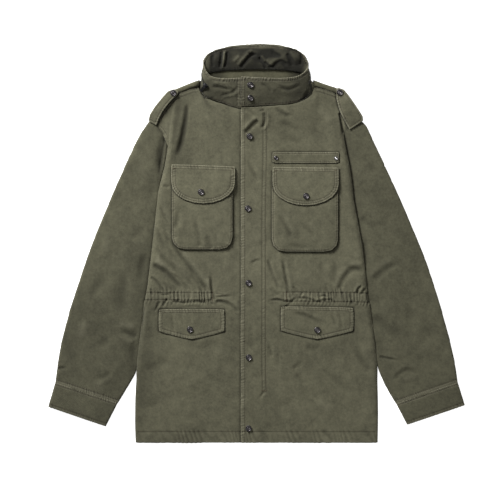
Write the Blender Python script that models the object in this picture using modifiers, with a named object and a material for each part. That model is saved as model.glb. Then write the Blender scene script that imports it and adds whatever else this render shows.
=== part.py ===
"""A field jacket laid flat on its back, front up: one closed solid for each piece that is cut and sewn.

Units are metres and +Z is up. The tables are in millimetres and are scaled by MM when a mesh is made.
The origin lies on the floor under the middle of the jacket, +X points to the wearer's left and +Y to
the collar. Right and left are the wearer's.
"""
import math
from collections import namedtuple

import bmesh
import bpy
from mathutils import Matrix, Vector
from mathutils.bvhtree import BVHTree

MM = 0.001

# ---- driving sizes, in millimetres ----
SEAM = 0.3                 # air left between two pieces at a seam
LIE = 0.4                  # air left under a piece that lies on another
FLAP_LIE = 0.8             # the same under a pocket flap, which hangs loose
NECK_CLEAR = 0.7           # how far the fronts stay off the collar's seam, which bends more than they do
BACK_WALL = 1.5
FRONT_WALL = 1.6
SLEEVE_WALL = 1.7
CUFF_WALL = 2.3
COLLAR_WALL = 2.6
POCKET_WALL = 1.3
FLAP_WALL = 1.6
STRIP_WALL = 1.2
STRAP_WALL = 2.4
HEM_Y = -437.0
FLY_EDGE_X = -33.8         # the edge of the left front, which lies on top
UNDERLAP_X = 12.0          # how far the right front runs on under it
CHEST_Z = 6.4              # top of the front panels where they lie flattest
FRONT_FOOT_Z = BACK_WALL + SEAM
FLY_DROP = 2.2             # how much lower the right front lies under the fly
SHOULDER_Z = 8.0           # top of the shoulder, where the back has rolled forward
SHOULDER_ROLL = 12.0       # from the shoulder's edge to the seam with the front
CREST_INSET = 7.0          # from the body's side edge to the top of its roll
NECK_RISE_T = 0.873        # share of a front's length past which it climbs to the neck seam

OLIVE = (0.118, 0.115, 0.070, 1.0)
OLIVE_DARK = (0.095, 0.092, 0.058, 1.0)
GUNMETAL = (0.045, 0.042, 0.050, 1.0)
NICKEL = (0.55, 0.54, 0.53, 1.0)

# ---- tables, in millimetres ----
# One row for each section of a sleeve that lies along the body: where its inner edge meets the body's
# side fold, and where its outer edge lies.
Section = namedtuple("Section", "fold_x fold_y out_x out_y")
RIGHT_SECTIONS = [
    Section(-193.0, 214.0, -236.5, 271.0),
    Section(-197.0, 186.0, -257.3, 240.0),
    Section(-202.5, 160.5, -272.5, 209.5),
    Section(-213.5, 118.5, -294.5, 161.5),
    Section(-222.4, 40.0, -327.5, 84.5),
    Section(-231.0, -35.0, -357.5, 12.5),
    Section(-238.0, -94.5, -378.5, -45.0),
    Section(-245.5, -130.0, -390.0, -80.5),
    Section(-254.2, -205.0, -412.8, -150.5),
    Section(-263.3, -281.5, -431.0, -224.0),
]
LEFT_SECTIONS = [
    Section(190.5, 247.5, 232.5, 270.5),
    Section(191.5, 229.0, 244.0, 258.0),
    Section(198.0, 196.0, 256.0, 229.5),
    Section(203.5, 169.5, 268.0, 205.3),
    Section(209.0, 134.0, 282.7, 171.6),
    Section(212.3, 97.0, 298.5, 138.2),
    Section(222.2, 42.0, 322.6, 85.6),
    Section(232.1, -13.2, 345.2, 31.3),
    Section(239.4, -79.2, 371.3, -31.2),
    Section(242.0, -112.2, 381.9, -62.1),
    Section(249.7, -145.2, 392.7, -94.6),
    Section(257.4, -208.0, 410.3, -154.5),
    Section(265.1, -270.6, 426.5, -214.1),
]
# Sections of a sleeve past the point where it leaves the body, down to the cuff's seam, and the cuff's.
FreeSection = namedtuple("FreeSection", "in_x in_y out_x out_y")
RIGHT_SLEEVE_END = [FreeSection(-284.0, -316.5, -437.5, -264.5), FreeSection(-303.6, -348.7, -442.5, -303.0)]
LEFT_SLEEVE_END = [FreeSection(284.3, -315.0, 437.0, -262.0), FreeSection(305.4, -349.8, 442.6, -302.5)]
RIGHT_CUFF = [FreeSection(-304.4, -349.3, -442.7, -303.6), FreeSection(-331.1, -401.5, -458.7, -357.9)]
LEFT_CUFF = [FreeSection(306.0, -350.4, 442.8, -303.1), FreeSection(330.7, -397.8, 458.7, -354.4)]
# The armhole seam as it shows, from the shoulder point (share 0) to the side fold (share 1).
ArmPoint = namedtuple("ArmPoint", "share x y")
RIGHT_ARMHOLE = [
    ArmPoint(0.0, -236.5, 271.0), ArmPoint(0.2, -222.0, 264.5), ArmPoint(0.5, -206.5, 247.0),
    ArmPoint(0.8, -196.0, 226.5), ArmPoint(1.0, -193.0, 214.0),
]
LEFT_ARMHOLE = [
    ArmPoint(0.0, 232.5, 270.5), ArmPoint(0.2, 223.5, 264.5), ArmPoint(0.5, 210.0, 255.5),
    ArmPoint(0.8, 198.0, 250.0), ArmPoint(1.0, 190.5, 247.5),
]
# The body's side edge below the last section, down to the hem.
EdgePoint = namedtuple("EdgePoint", "x y")
RIGHT_LOW_EDGE = [EdgePoint(-267.0, -343.0), EdgePoint(-267.5, -395.0), EdgePoint(-266.0, HEM_Y)]
LEFT_LOW_EDGE = [EdgePoint(267.3, -343.0), EdgePoint(267.5, -395.0), EdgePoint(266.5, HEM_Y)]
# The shoulder's outer edge, from the armhole to the neck.
RIGHT_SHOULDER = [
    EdgePoint(-233.5, 277.0), EdgePoint(-211.2, 310.2), EdgePoint(-190.3, 334.4),
    EdgePoint(-172.0, 343.5), EdgePoint(-150.0, 352.5), EdgePoint(-124.6, 361.5),
]
LEFT_SHOULDER = [
    EdgePoint(229.5, 279.0), EdgePoint(210.1, 310.2), EdgePoint(190.3, 337.7),
    EdgePoint(172.0, 345.0), EdgePoint(148.0, 353.0), EdgePoint(124.6, 360.5),
]
# The top of the body's pleat over the armhole, from the end of the armhole up to the shoulder seam. The
# front's edge on that row is the armhole's point at the given share, or else the shoulder's given point.
Pleat = namedtuple("Pleat", "x y z share shoulder")
RIGHT_PLEAT = [
    Pleat(-186.5, 216.0, 11.6, 1.0, None), Pleat(-186.0, 230.0, 12.0, 0.8, None),
    Pleat(-184.8, 247.0, 12.2, 0.5, None), Pleat(-183.0, 264.0, 12.2, 0.2, None),
    Pleat(-180.5, 281.0, 11.8, None, 0), Pleat(-176.5, 304.0, 10.6, None, 1),
    Pleat(-174.0, 321.0, 9.0, None, 2), Pleat(-164.5, 332.6, 8.2, None, 3),
]
LEFT_PLEAT = [
    Pleat(184.0, 246.0, 11.2, 1.0, None), Pleat(184.0, 253.5, 11.4, 0.8, None),
    Pleat(183.5, 261.0, 11.5, 0.5, None), Pleat(182.5, 270.0, 11.3, 0.2, None),
    Pleat(181.0, 285.0, 10.8, None, 0), Pleat(179.5, 306.0, 9.8, None, 1),
    Pleat(177.0, 323.0, 8.8, None, 2), Pleat(165.0, 334.2, 8.2, None, 3),
]
# Height of the roll at the body's side, by the distance up the jacket.
SideHeight = namedtuple("SideHeight", "y z")
SIDE_HEIGHTS = [
    SideHeight(HEM_Y, 6.2), SideHeight(-343.0, 7.6), SideHeight(-281.0, 8.6), SideHeight(-130.0, 9.0),
    SideHeight(-80.0, 9.6), SideHeight(40.0, 10.0), SideHeight(160.0, 10.8), SideHeight(250.0, 11.6),
]
# The collar, from its end under the fly round the neck to its end on top: its outer face at the top
# edge and at the neck seam, and its thickness, which is greatest where the hood is stowed in it.
Stand = namedtuple("Stand", "top_x top_y top_z seam_x seam_y seam_z thick")
COLLAR = [
    Stand(12.0, 361.5, 21.2, 12.0, 299.5, 13.0, 2.6),
    Stand(-34.1, 362.5, 21.8, -36.3, 297.0, 13.2, 2.6),
    Stand(-62.7, 361.5, 22.6, -71.5, 308.5, 13.4, 2.6),
    Stand(-85.1, 363.0, 22.6, -97.9, 316.8, 12.8, 2.8),
    Stand(-101.0, 368.5, 21.6, -114.4, 323.5, 11.8, 3.0),
    Stand(-111.6, 381.7, 18.0, -122.0, 336.0, 10.2, 3.2),
    Stand(-117.0, 397.5, 12.0, -123.4, 350.0, 7.4, 3.6),
    Stand(-113.3, 410.5, 5.2, -119.0, 366.0, 3.4, 4.4),
    Stand(-96.4, 423.7, 1.6, -98.0, 377.0, 1.6, 6.0),
    Stand(-56.1, 434.4, 1.5, -54.0, 382.0, 1.5, 7.5),
    Stand(6.8, 438.9, 1.5, 5.5, 384.0, 1.5, 8.0),
    Stand(56.1, 435.6, 1.5, 57.0, 382.0, 1.5, 7.5),
    Stand(89.8, 426.4, 1.6, 96.0, 377.0, 1.6, 6.0),
    Stand(106.6, 412.5, 5.2, 115.0, 366.0, 3.4, 4.4),
    Stand(113.4, 396.0, 12.0, 121.6, 350.0, 7.4, 3.6),
    Stand(110.5, 382.1, 18.0, 122.6, 336.6, 10.2, 3.2),
    Stand(95.4, 369.0, 22.6, 115.5, 324.2, 12.2, 3.0),
    Stand(71.5, 363.2, 24.4, 86.0, 309.3, 14.2, 2.8),
    Stand(33.7, 362.6, 25.2, 31.0, 304.2, 16.0, 2.6),
    Stand(-3.3, 364.0, 25.4, -3.3, 302.6, 16.6, 2.6),
    Stand(-33.7, 365.4, 25.2, -33.9, 301.4, 16.6, 2.6),
]
# The top edge of each front from the shoulder to the fly: share of the way across, and place.
NeckRow = namedtuple("NeckRow", "share x y z")
RIGHT_NECK = [
    NeckRow(0.00, -164.5, 332.6, 8.2), NeckRow(0.10, -149.0, 338.6, 8.2),
    NeckRow(0.20, -128.5, 346.6, 8.0), NeckRow(0.25, -123.6, 334.6, 10.2),
    NeckRow(0.33, -115.2, 322.3, 11.8), NeckRow(0.42, -98.4, 315.6, 12.8),
    NeckRow(0.55, -71.8, 307.3, 13.4), NeckRow(0.80, -36.5, 296.0, 13.2),
    NeckRow(1.00, UNDERLAP_X, 297.6, 13.0),
]
LEFT_NECK = [
    NeckRow(0.00, 165.0, 334.2, 8.2), NeckRow(0.10, 148.0, 340.0, 8.2),
    NeckRow(0.20, 128.5, 346.4, 8.0), NeckRow(0.25, 124.2, 335.0, 10.2),
    NeckRow(0.33, 116.2, 322.8, 12.2), NeckRow(0.46, 86.4, 308.0, 14.2),
    NeckRow(0.70, 31.0, 302.9, 16.0), NeckRow(0.86, -3.3, 301.4, 16.6),
    NeckRow(1.00, FLY_EDGE_X, 300.2, 16.6),
]
# The largest folds: a soft ridge (height above 0) or trough (below 0) from one point to another.
Fold = namedtuple("Fold", "x1 y1 x2 y2 width height")
RIGHT_FOLDS = [
    Fold(-190.0, -70.0, -162.0, -106.0, 9.0, -1.6), Fold(-136.0, -66.0, -108.0, -106.0, 9.0, -1.6),
    Fold(-99.0, -40.0, -97.0, -110.0, 8.0, -1.4), Fold(-216.0, 110.0, -196.0, -60.0, 12.0, 1.6),
    Fold(-206.0, 150.0, -186.0, 220.0, 12.0, 1.6), Fold(-150.0, 300.0, -130.0, 215.0, 14.0, -1.6),
    Fold(-200.0, -20.0, -150.0, -66.0, 12.0, 1.4), Fold(-240.0, -150.0, -222.0, -260.0, 12.0, 1.6),
]
LEFT_FOLDS = [
    Fold(196.0, -66.0, 172.0, -104.0, 9.0, -1.6), Fold(226.0, -60.0, 214.0, -106.0, 8.0, -1.8),
    Fold(64.0, -50.0, 72.0, -106.0, 9.0, -1.4), Fold(150.0, 300.0, 140.0, 225.0, 14.0, -1.4),
    Fold(200.0, 90.0, 214.0, -50.0, 12.0, 1.4), Fold(60.0, 280.0, 20.0, 150.0, 14.0, 1.2),
    Fold(238.0, -150.0, 244.0, -260.0, 12.0, 1.4),
]
SLEEVE_FOLDS_RIGHT = [
    Fold(-330.0, -190.0, -262.0, -226.0, 12.0, -1.3), Fold(-300.0, 60.0, -350.0, -60.0, 16.0, 1.2),
    Fold(-345.0, -240.0, -290.0, -300.0, 14.0, 1.0),
]
SLEEVE_FOLDS_LEFT = [
    Fold(272.0, -40.0, 322.0, -56.0, 12.0, -1.3), Fold(268.0, -250.0, 320.0, -290.0, 12.0, -1.3),
    Fold(300.0, 90.0, 352.0, -60.0, 16.0, 1.2),
]
# The gathered waist channel on each front: where its gathers run, its two stitched lines, how far apart
# the gathers lie and how high they stand.
Channel = namedtuple("Channel", "x1 x2 top_y bottom_y pitch height")
RIGHT_CHANNEL = Channel(-232.0, -92.0, -107.0, -130.0, 11.5, 1.3)
LEFT_CHANNEL = Channel(62.0, 228.0, -106.0, -128.0, 12.0, 1.3)
GATHER_FADE = 9.0          # how far the gathers run on past the stitched lines
GATHER_PINCH = 0.6         # share of their height that they keep on those lines
# Chest pockets: sides, top under the flap, bottom, bottom corner radius and how far they stand off.
Patch = namedtuple("Patch", "x1 x2 top bottom corner puff")
CHEST_POCKETS = {"right": Patch(-185.4, -52.6, 166.0, -12.0, 26.0, 4.4),
                 "left": Patch(33.9, 179.0, 160.0, -17.0, 26.0, 4.4)}
# Chest flaps: left and right side, top edge at each side, height of the straight sides, lowest point.
Flap = namedtuple("Flap", "x1 x2 top1 top2 side bottom")
CHEST_FLAPS = {"right": Flap(-187.0, -47.0, 175.0, 170.0, 133.0, 88.5),
               "left": Flap(35.4, 180.6, 169.6, 167.4, 130.0, 84.3)}
# Lower flaps: as a chest flap, with a point at its middle.
LOWER_FLAPS = {"right": Flap(-214.6, -70.0, -143.5, -143.5, -192.5, -211.0),
               "left": Flap(53.6, 213.2, -137.0, -140.0, -191.5, -210.6)}
NAME_STRIP = Patch(35.2, 181.0, 201.2, 177.9, 1.5, 0.0)
# Shoulder straps: a row for each step from the armhole end to the snapped end, with how far the strap
# stands off what it lies on there.
StrapRow = namedtuple("StrapRow", "out_x out_y in_x in_y lift")
STRAPS = {
    "right": [
        StrapRow(-237.6, 270.6, -219.4, 259.8, 0.0), StrapRow(-234.6, 284.0, -215.8, 271.8, 1.2),
        StrapRow(-222.6, 302.6, -206.2, 290.6, 3.4), StrapRow(-208.4, 320.0, -193.6, 307.6, 4.2),
        StrapRow(-194.6, 335.4, -180.4, 321.6, 2.4), StrapRow(-183.4, 340.0, -173.8, 326.4, 0.6),
        StrapRow(-174.4, 340.2, -171.0, 332.4, 0.0),
    ],
    "left": [
        StrapRow(234.4, 270.4, 204.6, 250.4, 0.0), StrapRow(233.6, 279.6, 195.0, 268.0, 1.0),
        StrapRow(221.6, 298.0, 184.6, 286.4, 2.6), StrapRow(209.0, 316.4, 178.6, 304.6, 3.2),
        StrapRow(200.4, 329.6, 175.6, 319.0, 2.0), StrapRow(192.0, 339.6, 174.8, 330.6, 0.6),
        StrapRow(180.0, 343.4, 174.8, 341.6, 0.0),
    ],
}
# Snaps and rivets: each one's name and place.
Fastener = namedtuple("Fastener", "name x y")
SNAPS = [
    Fastener("collar_top", -13.4, 347.8), Fastener("collar_low", -13.4, 319.7),
    Fastener("fly_1", -15.2, 236.5), Fastener("fly_2", -18.7, 77.9), Fastener("fly_3", -17.6, -85.8),
    Fastener("fly_4", -16.9, -249.3), Fastener("fly_5", -17.6, -405.2),
    Fastener("chest_right", -121.9, 113.7), Fastener("chest_left", 108.9, 104.9),
    Fastener("lower_right", -146.1, -187.7), Fastener("lower_left", 133.5, -189.0),
    Fastener("strap_right", -182.6, 331.0), Fastener("strap_left", 182.4, 332.4),
]
SNAP_PROFILE = [(0.0, 3.0), (2.8, 2.8), (4.6, 2.0), (5.6, 2.1), (6.9, 1.0), (6.9, 0.0), (0.0, 0.0)]
RIVETS = [Fastener("inner", 42.7, 189.0), Fastener("outer", 174.4, 188.1)]
RIVET_PROFILE = [(0.0, 1.2), (2.0, 1.3), (3.2, 1.7), (4.5, 0.8), (4.5, 0.0), (0.0, 0.0)]
TURN_STEPS = 12
# Collar zip: its height on the collar as a share from the seam to the top edge, its width and thickness,
# and its two ends and its slider as places along the collar's table.
ZIP_SHARE = 0.46
ZIP_WIDTH = 5.0
ZIP_THICK = 0.9
ZIP_START = 4.66
ZIP_END = 15.5
SLIDER_AT = 4.25
SLIDER_LIFT = 0.5          # air between the slider's flat underside and the collar, which curves away
SLIDER_SIZE = (11.0, 8.0, 2.6)
BAIL_LENGTH = 9.2          # outside, along the slider
BAIL_POST = 1.1
BAIL_WIRE = 1.2            # the bar that the pull tab hangs on, square
PULL_EYE = 1.8             # radius of the tab's eye
PULL_BORE = 1.2            # radius of the hole in it
PULL_THICK = 1.4
PULL_WIDTH = 6.2
PULL_LENGTH = 19.0
PULL_TILT = 20.0           # degrees that the tab hangs down towards the cloth at rest
EYE_STEPS = 12


# ---- small maths ----
def lerp(a, b, t):
    """Return the value a share t of the way from a to b."""
    return a + (b - a) * t


def ramp(value, start, stop):
    """Return 0 before start and 1 after stop, with a smooth rise between."""
    t = min(max((value - start) / (stop - start), 0.0), 1.0)
    return t * t * (3.0 - 2.0 * t)


def look_up(rows, value, key, column):
    """Read a column of a table between its rows, by straight lines, at a value of the key column."""
    previous = rows[0]
    for row in rows:
        if getattr(row, key) >= value:
            span = getattr(row, key) - getattr(previous, key)
            t = (value - getattr(previous, key)) / span if span else 0.0
            return lerp(getattr(previous, column), getattr(row, column), t)
        previous = row
    return getattr(previous, column)


def smooth_row(rows, place):
    """Return a table's row at a place along it, such as 4.25, on a Catmull-Rom curve."""
    i = min(int(place), len(rows) - 2)
    t = place - i
    values = []
    for a, b, c, d in zip(rows[max(i - 1, 0)], rows[i], rows[i + 1], rows[min(i + 2, len(rows) - 1)]):
        bend = (2 * a - 5 * b + 4 * c - d) * t * t + (3 * b - a - 3 * c + d) * t ** 3
        values.append(0.5 * (2 * b + (c - a) * t + bend))
    return type(rows[0])(*values)


def smooth_rows(rows, steps):
    """Return the rows of a table with steps - 1 more between each pair."""
    return [smooth_row(rows, k / steps) for k in range((len(rows) - 1) * steps + 1)]


def fold_height(folds, x, y):
    """Add up the heights of the folds at a point: round across, and fading at their ends."""
    total = 0.0
    for fold in folds:
        dx = fold.x2 - fold.x1
        dy = fold.y2 - fold.y1
        length = math.hypot(dx, dy)
        along = ((x - fold.x1) * dx + (y - fold.y1) * dy) / length
        across = ((x - fold.x1) * dy - (y - fold.y1) * dx) / length
        fade = ramp(along, -fold.width, length * 0.35)
        fade *= 1.0 - ramp(along, length * 0.65, length + fold.width)
        total += fold.height * fade * math.exp(-((across / fold.width) ** 2))
    return total


def gather_height(channel, x, y):
    """Return the height of the gathers of a waist channel at a point."""
    middle = 0.5 * (channel.top_y + channel.bottom_y)
    half = 0.5 * (channel.top_y - channel.bottom_y)
    off = abs(y - middle)
    band = lerp(1.0, GATHER_PINCH, off / half)
    if off > half:
        band = max(GATHER_PINCH * (1.0 - (off - half) / GATHER_FADE), 0.0)
    reach = ramp(x, channel.x1 - 1.0, channel.x1 + channel.pitch)
    reach *= 1.0 - ramp(x, channel.x2 - channel.pitch, channel.x2 + 1.0)
    uneven = 0.75 + 0.25 * math.sin(x / 13.0)
    wave = math.cos(2.0 * math.pi * (x - channel.x1) / channel.pitch)
    return channel.height * band * reach * uneven * wave


# ---- mesh helpers ----
def grid_mesh(rows, closed=False):
    """Return a bmesh with a quad between each four neighbours in rows of points, in metres."""
    bm = bmesh.new()
    verts = [[bm.verts.new(Vector(point) * MM) for point in row] for row in rows]
    for low, high in zip(verts, verts[1:]):
        count = len(low)
        for j in range(count if closed else count - 1):
            k = (j + 1) % count
            bm.faces.new((low[j], low[k], high[k], high[j]))
    return bm


def new_object(name, bm, material, parts):
    """Make an object from a bmesh and put it in the collection."""
    mesh = bpy.data.meshes.new(name)
    bm.to_mesh(mesh)
    bm.free()
    mesh.materials.append(material)
    mesh.shade_smooth()
    obj = bpy.data.objects.new(name, mesh)
    parts.objects.link(obj)
    return obj


def add_wall(obj, thickness):
    """Give an open surface its cloth wall, inwards from the outer face."""
    solid = obj.modifiers.new("wall", "SOLIDIFY")
    solid.thickness = thickness * MM
    solid.offset = -1.0
    solid.use_even_offset = True
    solid.thickness_clamp = 0.0
    return obj


def skirt(bm, foot):
    """Turn a surface's open edge down to the height that foot(x, y) gives, in millimetres."""
    rim = [edge for edge in bm.edges if edge.is_boundary]
    made = bmesh.ops.extrude_edge_only(bm, edges=rim)
    for vert in made["geom"]:
        if isinstance(vert, bmesh.types.BMVert):
            vert.co.z = foot(vert.co.x / MM, vert.co.y / MM) * MM


def cut(bm, place, direction, inside):
    """Cut the faces whose middle is inside(x, y) along an upright plane, in millimetres."""
    faces = [face for face in bm.faces if inside(*(c / MM for c in face.calc_center_median()[:2]))]
    edges = {edge for face in faces for edge in face.edges}
    verts = {vert for face in faces for vert in face.verts}
    where = Vector((*place, 0.0)) * MM
    bmesh.ops.bisect_plane(bm, geom=[*verts, *edges, *faces], plane_co=where, plane_no=(*direction, 0.0))


def wall_between(outer, inner):
    """Return a closed bmesh of a wall given by matching rows of outer and inner points."""
    rings = [list(face) + list(reversed(back)) for face, back in zip(outer, inner)]
    bm = grid_mesh(rings, closed=True)
    bm.verts.ensure_lookup_table()
    count = len(rings[0])
    bm.faces.new([bm.verts[j] for j in reversed(range(count))])
    last = len(rings) * count
    bm.faces.new([bm.verts[last - count + j] for j in range(count)])
    bmesh.ops.recalc_face_normals(bm, faces=bm.faces)
    return bm


def cloth_material(name, colour):
    """Return a matt cloth material."""
    return principled(name, colour, 0.9, 0.0)


def principled(name, colour, roughness, metallic):
    """Return a material with one Principled shader."""
    material = bpy.data.materials.new(name)
    material.use_nodes = True
    shader = material.node_tree.nodes["Principled BSDF"]
    shader.inputs["Base Color"].default_value = colour
    shader.inputs["Roughness"].default_value = roughness
    shader.inputs["Metallic"].default_value = metallic
    material.diffuse_color = colour
    return material


class Ground:
    """The outer faces that later pieces lie on."""

    def __init__(self):
        self.trees = []

    def add(self, bm):
        """Take a surface's present shape as one to lie on."""
        self.trees.append(BVHTree.FromBMesh(bm))

    def height(self, x, y, reach=0.0):
        """Return the highest point under a place, in millimetres, within a small reach round it."""
        steps = [(0.0, 0.0)]
        for share in (0.25, 0.6, 1.0) if reach else ():
            step = reach * share
            steps += [(step, 0.0), (-step, 0.0), (0.0, step), (0.0, -step)]
        best = 0.0
        for dx, dy in steps:
            start = Vector(((x + dx) * MM, (y + dy) * MM, 1.0))
            for tree in self.trees:
                hit = tree.ray_cast(start, Vector((0.0, 0.0, -1.0)))[0]
                if hit is not None:
                    best = max(best, hit.z / MM)
        return best


# ---- the body ----
def side_sign(side):
    """Return -1 for the wearer's right, which lies at -X, and +1 for the left."""
    return -1.0 if side == "right" else 1.0


def armhole_point(side, share):
    """Return the place of the armhole seam at a share of its way, in millimetres."""
    rows = RIGHT_ARMHOLE if side == "right" else LEFT_ARMHOLE
    return look_up(rows, share, "share", "x"), look_up(rows, share, "share", "y")


def shoulder_frames(side):
    """Return each shoulder point with the direction from it across the shoulder, towards the front."""
    points = RIGHT_SHOULDER if side == "right" else LEFT_SHOULDER
    frames = []
    for i, point in enumerate(points):
        before = points[max(i - 1, 0)]
        after = points[min(i + 1, len(points) - 1)]
        run = Vector((after.x - before.x, after.y - before.y)).normalized()
        inward = Vector((run.y, -run.x)) if side == "right" else Vector((-run.y, run.x))
        if i == len(points) - 1:
            inward = Vector((0.0, -1.0))
        frames.append((Vector((point.x, point.y)), inward))
    return frames


def body_edge(side):
    """Return the body's side edge from the hem up to the end of the armhole, clear of the sleeve."""
    low = RIGHT_LOW_EDGE if side == "right" else LEFT_LOW_EDGE
    sections = RIGHT_SECTIONS if side == "right" else LEFT_SECTIONS
    points = [(row.x, row.y) for row in reversed(low)]
    points += [(row.fold_x, row.fold_y) for row in reversed(sections)]
    return [body_side(side, x, y) for x, y in points]


def body_side(side, x, y):
    """Move a point of the body and sleeve seam to the body's side of the gap."""
    return x - side_sign(side) * SEAM / 2.0, y + SEAM / 2.0


def sleeve_side(side, x, y):
    """Move a point of the body and sleeve seam to the sleeve's side of the gap."""
    return x + side_sign(side) * SEAM / 2.0, y - SEAM / 2.0


ROLL_ANGLES = (35.0, 65.0, 90.0)


def rolled_edge(side, edge, crest):
    """Return the points from the crest of a side roll out and down to its foot on the back."""
    x_edge, y_edge = edge
    reach = abs(crest[0] - x_edge)
    drop = (crest[2] - FRONT_FOOT_Z) * 0.6
    points = []
    for angle in ROLL_ANGLES:
        turn = math.radians(angle)
        x = x_edge - side_sign(side) * reach * (1.0 - math.sin(turn))
        points.append((x, y_edge, crest[2] - drop * (1.0 - math.cos(turn))))
    points.append((x_edge, y_edge, FRONT_FOOT_Z))
    return points


def pleated_edge(edge, crest, foot_z):
    """Return the points from a pleat's crest down its steep side and out to the seam."""
    x_edge, y_edge = edge
    reach = math.hypot(x_edge - crest[0], y_edge - crest[1])
    points = []
    for step, share in ((2.5, 0.35), (6.0, 0.92)):
        t = min(step / reach, share * 0.8)
        points.append((lerp(crest[0], x_edge, t), lerp(crest[1], y_edge, t), lerp(crest[2], foot_z, share)))
    t = 0.5 * (1.0 + min(6.0 / reach, 0.7))
    points.append((lerp(crest[0], x_edge, t), lerp(crest[1], y_edge, t), foot_z))
    points.append((x_edge, y_edge, foot_z))
    return points


def flank(side):
    """Return the rows of a front's outer side: its crest, and the points from there out to its edge."""
    rows = []
    for x, y in body_edge(side)[:-1]:
        z = look_up(SIDE_HEIGHTS, y, "y", "z")
        crest = (x - side_sign(side) * CREST_INSET, y, z)
        rows.append((crest, rolled_edge(side, (x, y), crest)))
    frames = shoulder_frames(side)
    for pleat in RIGHT_PLEAT if side == "right" else LEFT_PLEAT:
        crest = (pleat.x, pleat.y, pleat.z)
        if pleat.share is not None:
            edge = body_side(side, *armhole_point(side, pleat.share))
            foot_z = lerp(6.6, 4.6, ramp(pleat.share, 0.5, 1.0))
        else:
            start, inward = frames[pleat.shoulder]
            edge = start + inward * (SHOULDER_ROLL + SEAM)
            foot_z = SHOULDER_Z if pleat.shoulder else 7.2
        rows.append((crest, pleated_edge(edge, crest, foot_z)))
    return rows


def densify(rows, longest):
    """Add rows halfway, by straight lines, wherever two crests lie further apart than longest."""
    out = [rows[0]]
    for low, high in zip(rows, rows[1:]):
        count = math.ceil(abs(high[0][1] - low[0][1]) / longest)
        for k in range(1, count + 1):
            t = k / count
            crest = tuple(lerp(a, b, t) for a, b in zip(low[0], high[0]))
            edge = [tuple(lerp(a, b, t) for a, b in zip(p, q)) for p, q in zip(low[1], high[1])]
            out.append((crest, edge))
    return out


FRONT_COLUMNS = 14
FRONT_ROW = 34.0


def front_height(side, x, y, crest_z, inset, climb, neck_z):
    """Return the height of a front's outer face before its folds."""
    level = CHEST_Z + (crest_z - CHEST_Z) * math.exp(-inset / 28.0)
    height = lerp(level, neck_z, climb)
    if side == "right":
        height -= FLY_DROP * ramp(x, FLY_EDGE_X - 18.0, FLY_EDGE_X - 3.0) * (1.0 - climb)
    return height


def front_folds(side, x, y):
    """Return the height that the folds add to a front."""
    if side == "right":
        return (1.0 - ramp(x, FLY_EDGE_X - 30.0, FLY_EDGE_X - 8.0)) * fold_height(RIGHT_FOLDS, x, y)
    return ramp(x, UNDERLAP_X + 6.0, UNDERLAP_X + 30.0) * fold_height(LEFT_FOLDS, x, y)


def front_rows(side):
    """Return the outer face of a front as rows of points, from its side edge to the fly."""
    neck = RIGHT_NECK if side == "right" else LEFT_NECK
    inner_x = UNDERLAP_X if side == "right" else FLY_EDGE_X
    rows = densify(flank(side), FRONT_ROW)
    top = rows[-1][0]
    length = top[1] - HEM_Y
    grid = []
    for crest, edge in rows:
        t = (crest[1] - HEM_Y) / length
        inner_y = lerp(HEM_Y, neck[-1].y, t)
        climb = ramp(t, NECK_RISE_T, 1.0)
        bend = ramp(t, 0.76, 1.0) ** 1.5
        line = list(reversed(edge))
        for j in range(FRONT_COLUMNS + 1):
            s = j / FRONT_COLUMNS
            x = lerp(crest[0], inner_x, s)
            y = lerp(crest[1], inner_y, s)
            x += bend * (look_up(neck, s, "share", "x") - lerp(neck[0].x, neck[-1].x, s))
            y += bend * (look_up(neck, s, "share", "y") - lerp(neck[0].y, neck[-1].y, s))
            if s > 0.22:
                y -= bend * NECK_CLEAR
                x += bend * NECK_CLEAR * side_sign(side) * (1.0 - ramp(s, 0.35, 0.6))
            inset = math.hypot(x - crest[0], y - crest[1])
            z = front_height(side, x, y, crest[2], inset, climb, look_up(neck, s, "share", "z"))
            z += front_folds(side, x, y) * min(inset / 12.0, 1.0) * (1.0 - climb)
            line.append((x, y, z))
        grid.append(line if side == "right" else list(reversed(line)))
    return grid


def gather(bm, channel):
    """Cut a front along its waist channel, at each gather's crest and trough, and raise the gathers."""
    start = channel.x1 - channel.pitch
    stop = channel.x2 + channel.pitch
    low = channel.bottom_y - GATHER_FADE
    high = channel.top_y + GATHER_FADE
    for y in (high, channel.top_y, 0.5 * (channel.top_y + channel.bottom_y), channel.bottom_y, low):
        cut(bm, (0.0, y), (0.0, 1.0), lambda px, py: start < px < stop)
    for k in range(int(2.0 * (channel.x2 - channel.x1) / channel.pitch) + 1):
        x = channel.x1 + 0.5 * k * channel.pitch
        cut(bm, (x, 0.0), (1.0, 0.0), lambda px, py: start < px < stop and low < py < high)
    for vert in bm.verts:
        vert.co.z += gather_height(channel, vert.co.x / MM, vert.co.y / MM) * MM


def make_front(side, parts, ground):
    """Make a front and let later pieces lie on it."""
    bm = grid_mesh(front_rows(side))
    gather(bm, RIGHT_CHANNEL if side == "right" else LEFT_CHANNEL)
    ground.add(bm)
    material = cloth_material(f"front_{side}", OLIVE)
    return add_wall(new_object(f"front_{side}", bm, material, parts), FRONT_WALL)


SHOULDER_PROFILE = [
    (4.0, 0.0), (1.2, 1.2), (0.0, 4.0), (1.2, 6.8), (4.0, SHOULDER_Z), (SHOULDER_ROLL, SHOULDER_Z),
]


def back_neck():
    """Return the back's neck edge, just inside the collar's seam."""
    rows = [row for row in smooth_rows(COLLAR, 2) if row.seam_z < 2.0 and row.seam_y > 370.0]
    return [(row.seam_x, row.seam_y - 1.2 * SEAM) for row in rows]


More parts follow.
